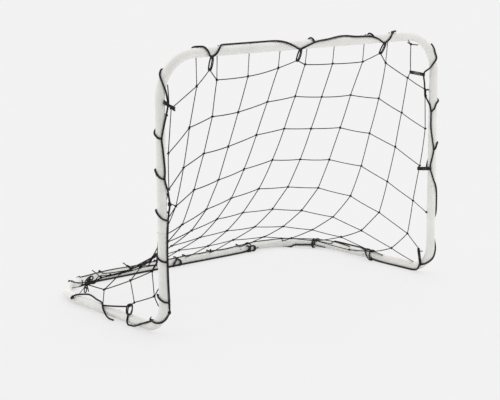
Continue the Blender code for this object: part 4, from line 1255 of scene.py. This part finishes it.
def bight(bm, a, b, half_width, facing, size=1.0):
    """A long ring of cord from a to b; it opens towards facing."""
    along = (b - a).normalized()
    side = facing.cross(along).normalized()
    middle, half = (a + b) / 2, (b - a).length / 2 + ROPE_D * 0.55
    points = []
    for k in range(48):
        t = 2 * math.pi * k / 48
        c, s = math.cos(t), math.sin(t)
        points.append(middle + along * half * c
                      + side * half_width * math.copysign(abs(s) ** 0.7, s))
    lay_cord(bm, points, TIE_D * size, corners=9, closed=True)


def tail(bm, *points):
    lay_cord(bm, smooth(points, TIE_STEP), TIE_D * 0.9, corners=9)


def turns(bm, run, keys, size=1.0, closed=False):
    """Cord that follows a route's stretches on the tube."""
    keys = stations(keys)
    seat = TUBE_R + TIE_D * size / 2 + 0.0003
    points = route_points(run, keys + keys[:1] * closed, seat, TIE_STEP)
    lay_cord(bm, points[:-1] if closed else points, TIE_D * size, corners=9, closed=closed)


FACING = (CAMERA_PLACE - Vector((0, 0, 0.3))).normalized()

# %% [markdown]
# ## Writing a tie
#
# Sixteen ties in sixteen functions would say the same things again and again. A
# tie is written here as a list of steps: each names a function that adds cord,
# and what it is told. The ties are made in a fixed order, because their knots
# share one source of chance.

# %% A tie from its steps
def tie(name, *steps):
    """One tie; each step is a function that adds cord, and what it is told."""
    bm = bmesh.new()
    for add, *told in steps:
        add(bm, *told)
    nodes = [name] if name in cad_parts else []
    return piece("cord_" + name, bm, CORD, GOAL, nodes, sharp=60)


def pair(a, b, way, apart, half_width, size):
    """The steps for two long rings side by side."""
    return [(bight, a + way * k, b + way * k, half_width, FACING, size) for k in (-apart, apart)]


# %% [markdown]
# ## Ties above
#
# On the crossbar and the posts the real ties are short cords, doubled and pulled
# tight from the rope to the nearest knot of the net. Drawn tight, a doubled cord
# is a long ring, so each tie is a pair of rings side by side, with a knot.

# %% Ties of the crossbar and the posts
def post_ties():
    made = [tie("tie_crossbar_" + name,
                *((bight, high + Y * shift, low + Y * shift, width, -Y)
                  for shift, width in ((-0.0015, 0.0065), (0.0020, 0.0045))),
                (knot, high - Y * 0.002, TIE_D, X, 1.05), (knot, low, TIE_D, X, 0.9))
            for name, (low, high, _) in HANGERS.items()]

    a, b = Vector((-0.5535, -0.3500, 0.6770)), Vector((-0.5165, -0.3440, 0.6560))
    made.append(tie("tie_left_post_upper",
                    *((bight, a + Z * lift, b - Z * lift, 0.0020, FACING, 1.1)
                      for lift in (-0.0032, 0.0032)),
                    (knot, a.lerp(b, 0.5), TIE_D, X, 1.15),
                    (tail, a.lerp(b, 0.45), a.lerp(b, 0.40) + Z * 0.030,
                     a.lerp(b, 0.34) + Z * 0.056)))

    a = spot(LEFT, "post", 0.388, 46, TUBE_R + ROPE_D * 0.9)
    b = spot(LEFT, "post", 0.384, 12, TUBE_R + 0.013)
    made.append(tie("tie_left_post_lower", *pair(a, b, Z, 0.0024, 0.0022, 0.9),
                    (knot, a.lerp(b, 0.4), TIE_D, Z, 1.2),
                    (tail, b, b + Vector((0.005, -0.003, -0.001)),
                     b + Vector((0.012, -0.004, -0.004)))))

    a = spot(RIGHT, "post", 0.610, -38, ROPE_SEAT + 0.009)
    b = KNOTS[LAST, 1].lerp(a, 0.5)
    made.append(tie("tie_right_post_upper",
                    *((bight, a + Z * lift, b + Z * lift, 0.0024, Z, 0.8)
                      for lift in (-0.004, 0.0, 0.004))))

    a = spot(RIGHT, "post", 0.674, -38, ROPE_SEAT + 0.015)
    b = KNOTS[9, 1] + RIGHT_BEND_TIE
    made.append(tie("tie_right_bend", *pair(a, b, Z, 0.0022, 0.0019, 1.15),
                    (knot, b, TIE_D, X, 1.0)))

    a = spot(RIGHT, "post", 0.364, 24, TUBE_R + ROPE_D * 0.8)
    b = KNOTS[LAST, 3] + Vector((-0.010, -0.004, -0.008))
    made.append(tie("tie_right_post_lower", *pair(a, b, Z, 0.0022, 0.0019, 1.1),
                    (knot, b + Z * 0.004, TIE_D, X, 0.8)))
    return made


# %% [markdown]
# ## Ties below
#
# On the base the ties are turns round the tube, so they are routes like the
# rope's. Two of them on the rear bar end in a leaf, a small flat loop beside the
# tube: two closed routes, one just beside the other.

# %% Ties of the elbows, the rails and the rear bar
def base_ties():
    a = spot(LEFT, "elbow", 60, 230, TUBE_R + ROPE_D * 0.8)
    made = [tie("tie_left_foot", (knot, a, TIE_D, Y, 1.5),
                (turns, LEFT, [("elbow", (60, 230, 3), (66, 262), (72, 300), (76, 360),
                                (76, 395))], 0.8),
                (tail, a, a + Vector((0.000, 0.002, 0.005)), a + Vector((0.002, 0.001, 0.010))))]

    a, b = Vector((0.527, -0.304, 0.086)), spot(RIGHT, "elbow", 50, 14, TUBE_R + 0.007)
    made.append(tie("tie_right_foot", *pair(a, b, X, 0.0020, 0.0018, 1.1),
                    (knot, b, TIE_D, Z, 1.2),
                    (tail, a - Z * 0.006, a + Vector((0.008, -0.001, -0.008)),
                     a + Vector((0.018, -0.002, -0.009)))))

    top, low = Vector((-0.560, -0.1690, 0.0600)), Vector((-0.562, -0.1640, 0.0340))
    made.append(tie("tie_left_rail",
                    *((bight, top + X * shift, low + Vector((shift, shift, 0)), width, FACING, 1.15)
                      for shift, width in ((-0.0015, 0.0086), (0.0025, 0.0060))),
                    (knot, top, TIE_D, Y, 1.3)))

    a = spot(RIGHT, "rail", -0.030, -66, TUBE_R + 0.004)
    b = spot(RIGHT, "rail", -0.056, -64, TUBE_R + 0.004)
    route = [("rail", (-0.030, -64, 4), (-0.043, -4, 1), (-0.060, 46, 5), (-0.063, 80, 1),
              (-0.060, 150), (-0.056, 230), (-0.054, 296, 1), (-0.060, 358, 1), (-0.066, 408, 5),
              (-0.064, 440, 1), (-0.052, 520), (-0.036, 600), (-0.030, 654, 3))]
    made.append(tie("tie_right_rail", (turns, RIGHT, route, 1.25),
                    (bight, a, b, 0.0024, X, 0.9), (knot, b, TIE_D, X, 1.0),
                    (tail, b, spot(RIGHT, "rail", -0.090, -58, TUBE_R + 0.004),
                     spot(RIGHT, "rail", -0.120, -44, TUBE_R + 0.004))))

    # a leaf of two closed turns beside the tube, and the turn that holds it
    leaf = ((0.021, -39), (0.033, -6), (0.036, 22), (0.031, 58), (0.020, 74), (0.009, 60),
            (0.006, 22), (0.009, -10))
    made.append(tie("tie_rear_middle",
                    *((turns, LEFT, [("rear", *((p + shift, q, 1 + shift * 500) for p, q in leaf))],
                       1.45, True) for shift in (0.0, 0.003)),
                    (turns, LEFT, [("rear", (0.020, 74), (0.017, 130), (0.017, 190),
                                    (0.020, 250), (0.021, 318))])))

    leaf = ((-0.298, 56), (-0.299, 20), (-0.303, -12), (-0.314, -22), (-0.324, -6), (-0.327, 28),
            (-0.320, 58), (-0.308, 70))
    a = spot(LEFT, "rear", -0.322, 10, TUBE_R + 0.004)
    made.append(tie("tie_rear_right",
                    *((turns, LEFT, [("rear", *((p - shift, q, 1 + shift * 500) for p, q in leaf))],
                       1.25, True) for shift in (0.0, 0.003)),
                    (knot, spot(LEFT, "rear", -0.299, 16, TUBE_R + 0.006), TIE_D, X, 1.1),
                    (turns, LEFT, [("rear", (-0.308, 70), (-0.304, 130), (-0.304, 190),
                                    (-0.308, 250), (-0.313, 336))]),
                    (tail, a, a + Vector((0.010, -0.004, 0.000)),
                     a + Vector((0.018, -0.004, 0.002)))))

    made.append(tie("tie_corner_right",
                    *((turns, RIGHT, [("corner", *((28.5 + k * 0.55, a - 60,
                                                    4.0 * (a in (60, 420)))
                                                   for a in range(0, 361, 60)))], 1.1)
                      for k in (-1, 1)),
                    (knot, spot(RIGHT, "corner", 28.5, -58, TUBE_R + 0.005), TIE_D, X, 1.0),
                    (tail, *(spot(RIGHT, "corner", q, r, TUBE_R + 0.003)
                             for q, r in ((27, 4), (20, 18), (14, 26))))))
    return made


# %% [markdown]
# ## The tangle
#
# At the left rear corner many ends come together in one dark tangle. Nobody can
# follow its cords in the photograph, so it is built up from its parts until its
# outline is right: strands to the tube, turns, knots of several sizes, rings and
# a tail.

# %% The tangle at the left rear corner
def corner_tangle():
    bm = bmesh.new()
    for kind, place, angle, drop in (("corner", 50, -84, 0.002), ("corner", 38, -22, 0.002),
                                     ("rail", 0.120, -84, 0.0)):
        end = spot(LEFT, kind, place, angle, TUBE_R + TIE_D * 0.3)
        lay_cord(bm, smooth([CLUSTER, CLUSTER.lerp(end, 0.5) - Z * drop, end], CORD_STEP),
                 TIE_D * 0.7, corners=9)
    turns(bm, LEFT, [("corner", *((66 + k * 0.5, -30 + 60 * k) for k in range(6)))], 0.8)
    for shift in ((0, 0, 0), (0.010, 0.006, 0.007), (-0.008, -0.006, -0.008),
                  (0.004, 0.010, -0.004), (-0.002, -0.010, 0.006), (0.018, 0.010, 0.012)):
        knot(bm, CLUSTER + Vector(shift), TIE_D, Vector(shift) + Z * 0.01, dice.uniform(1.0, 1.8))
    for shift in (0.0, 0.004):
        bight(bm, CLUSTER + Vector((0, shift, shift)), CLUSTER + Vector((0.026, 0.008, 0.018)),
              0.005 + shift / 2, FACING, 1.1)
    bight(bm, CLUSTER + Z * 0.004, CLUSTER + Vector((-0.008, -0.002, -0.022)), 0.004, FACING)
    tail(bm, CLUSTER, CLUSTER + Vector((-0.010, -0.022, -0.008)),
         CLUSTER + Vector((-0.020, -0.040, -0.012)))
    return piece("cord_tie_corner_left", bm, CORD, GOAL, ["tie_corner_left"], sharp=60)


ties = post_ties() + base_ties() + [corner_tangle()]
print("ties:", len(ties), "polygons:", sum(len(t.data.polygons) for t in ties))

# %% [markdown]
# ## The studio
#
# A plain pale sweep: one large floor, a bright room that is darker on the side in
# front of the goal, and two lamps. The broad lamp is a sun with a wide angle: it
# lights the whole floor evenly, so the background stays one tone up to the top
# of the picture, and the shadow under the rails is soft. A small softbox with a
# grid lifts only the right side.

# %% Floor, room and lamps
PAPER_CLOUD = 0.35
PAPER_SHARE = 0.72        # of the paper's own tone, where a camera or a reflection sees it
FLOOR_HALF = 60
ROOM_FRONT = (-0.30, -0.95, 0.0)
ROOM_BRIGHT, ROOM_DARK = 1.25, 0.32
KEY_ENERGY, KEY_ANGLE, KEY_WAY = 0.60, 100, (-0.75, 0.45, -0.80)
BOX_ENERGY, BOX_SIZE, BOX_SPREAD = 0.25, 0.6, 60
BOX_PLACE, BOX_WAY = (0.35, -1.60, 0.45), (0.21, 1.26, -0.04)


def aim(lamp, way):
    lamp.rotation_euler = Vector(way).to_track_quat("-Z", "Y").to_euler()


def make_studio():
    mat, shader = shader_of("studio_paper_white", "#F4F4F4", 0.9)
    shader.inputs["Specular IOR Level"].default_value = 0.1
    place = node(mat, "ShaderNodeTexCoord").outputs["Object"]
    grain = node(mat, "ShaderNodeTexNoise", {"Vector": place, "Scale": 1 / PAPER_CLOUD,
                                             "Detail": 2.0})
    tone = node(mat, "ShaderNodeValToRGB", {"Fac": grain.outputs["Fac"]},
                [(0.3, "#F3F3F3"), (0.7, "#F5F5F5")])
    link(mat, tone.outputs["Color"], shader, "Base Color")
    # seen directly or in a reflection, the paper is mostly its own plain tone
    rays = node(mat, "ShaderNodeLightPath").outputs
    seen = node(mat, "ShaderNodeMath", {0: rays["Is Camera Ray"], 1: rays["Is Glossy Ray"]},
                operation="MAXIMUM")
    seen = node(mat, "ShaderNodeMath", {0: seen.outputs["Value"], 1: rays["Is Transmission Ray"]},
                operation="MAXIMUM")
    share = node(mat, "ShaderNodeMath", {0: seen.outputs["Value"], 1: PAPER_SHARE},
                 operation="MULTIPLY")
    plain = node(mat, "ShaderNodeEmission", {"Color": linear("#EFEFEF"), "Strength": 1.0})
    both = node(mat, "ShaderNodeMixShader", {0: share.outputs["Value"], 1: shader.outputs["BSDF"],
                                             2: plain.outputs["Emission"]})
    out = mat.node_tree.nodes["Material Output"]
    link(mat, both.outputs["Shader"], out, "Surface")
    bm = bmesh.new()
    bmesh.ops.create_grid(bm, x_segments=1, y_segments=1, size=FLOOR_HALF)
    mesh = mesh_of("floor", bm)
    mesh.materials.append(mat)
    placed("floor", mesh)

    # the room: bright walls all round, darker on the side in front of the goal
    world = bpy.data.worlds.new("white_room")
    world.use_nodes = True
    way = node(world, "ShaderNodeTexCoord").outputs["Generated"]
    height = node(world, "ShaderNodeSeparateXYZ", {"Vector": way}).outputs["Z"]
    walls = node(world, "ShaderNodeMapRange", {"Value": height, "From Min": 0.05, "From Max": 0.75,
                                               "To Min": 1.0, "To Max": 0.95})
    front = node(world, "ShaderNodeVectorMath", {0: way, 1: ROOM_FRONT},
                 operation="DOT_PRODUCT")
    camera_side = node(world, "ShaderNodeMapRange", {"Value": front.outputs["Value"],
                                                     "From Min": 0.05, "From Max": 0.85,
                                                     "To Min": ROOM_BRIGHT, "To Max": ROOM_DARK})
    bright = node(world, "ShaderNodeMath", {0: walls.outputs["Result"],
                                            1: camera_side.outputs["Result"]}, operation="MULTIPLY")
    room = world.node_tree.nodes["Background"]
    room.inputs["Color"].default_value = linear("#F8F8F8")
    link(world, bright.outputs["Value"], room, "Strength")
    bpy.context.scene.world = world

    sun = bpy.data.lights.new("broad_key", "SUN")
    sun.energy = KEY_ENERGY
    sun.angle = math.radians(KEY_ANGLE)
    aim(placed("broad_key", sun), KEY_WAY)

    # a softbox with a grid, aimed at the right post: the far side is the brighter one
    box = bpy.data.lights.new("right_softbox", "AREA")
    box.energy = BOX_ENERGY
    box.size = BOX_SIZE
    box.spread = math.radians(BOX_SPREAD)
    side_lamp = placed("right_softbox", box)
    side_lamp.location = BOX_PLACE
    aim(side_lamp, BOX_WAY)
    side_lamp.visible_camera = False
    bpy.context.scene.view_settings.view_transform = "Standard"


make_studio()
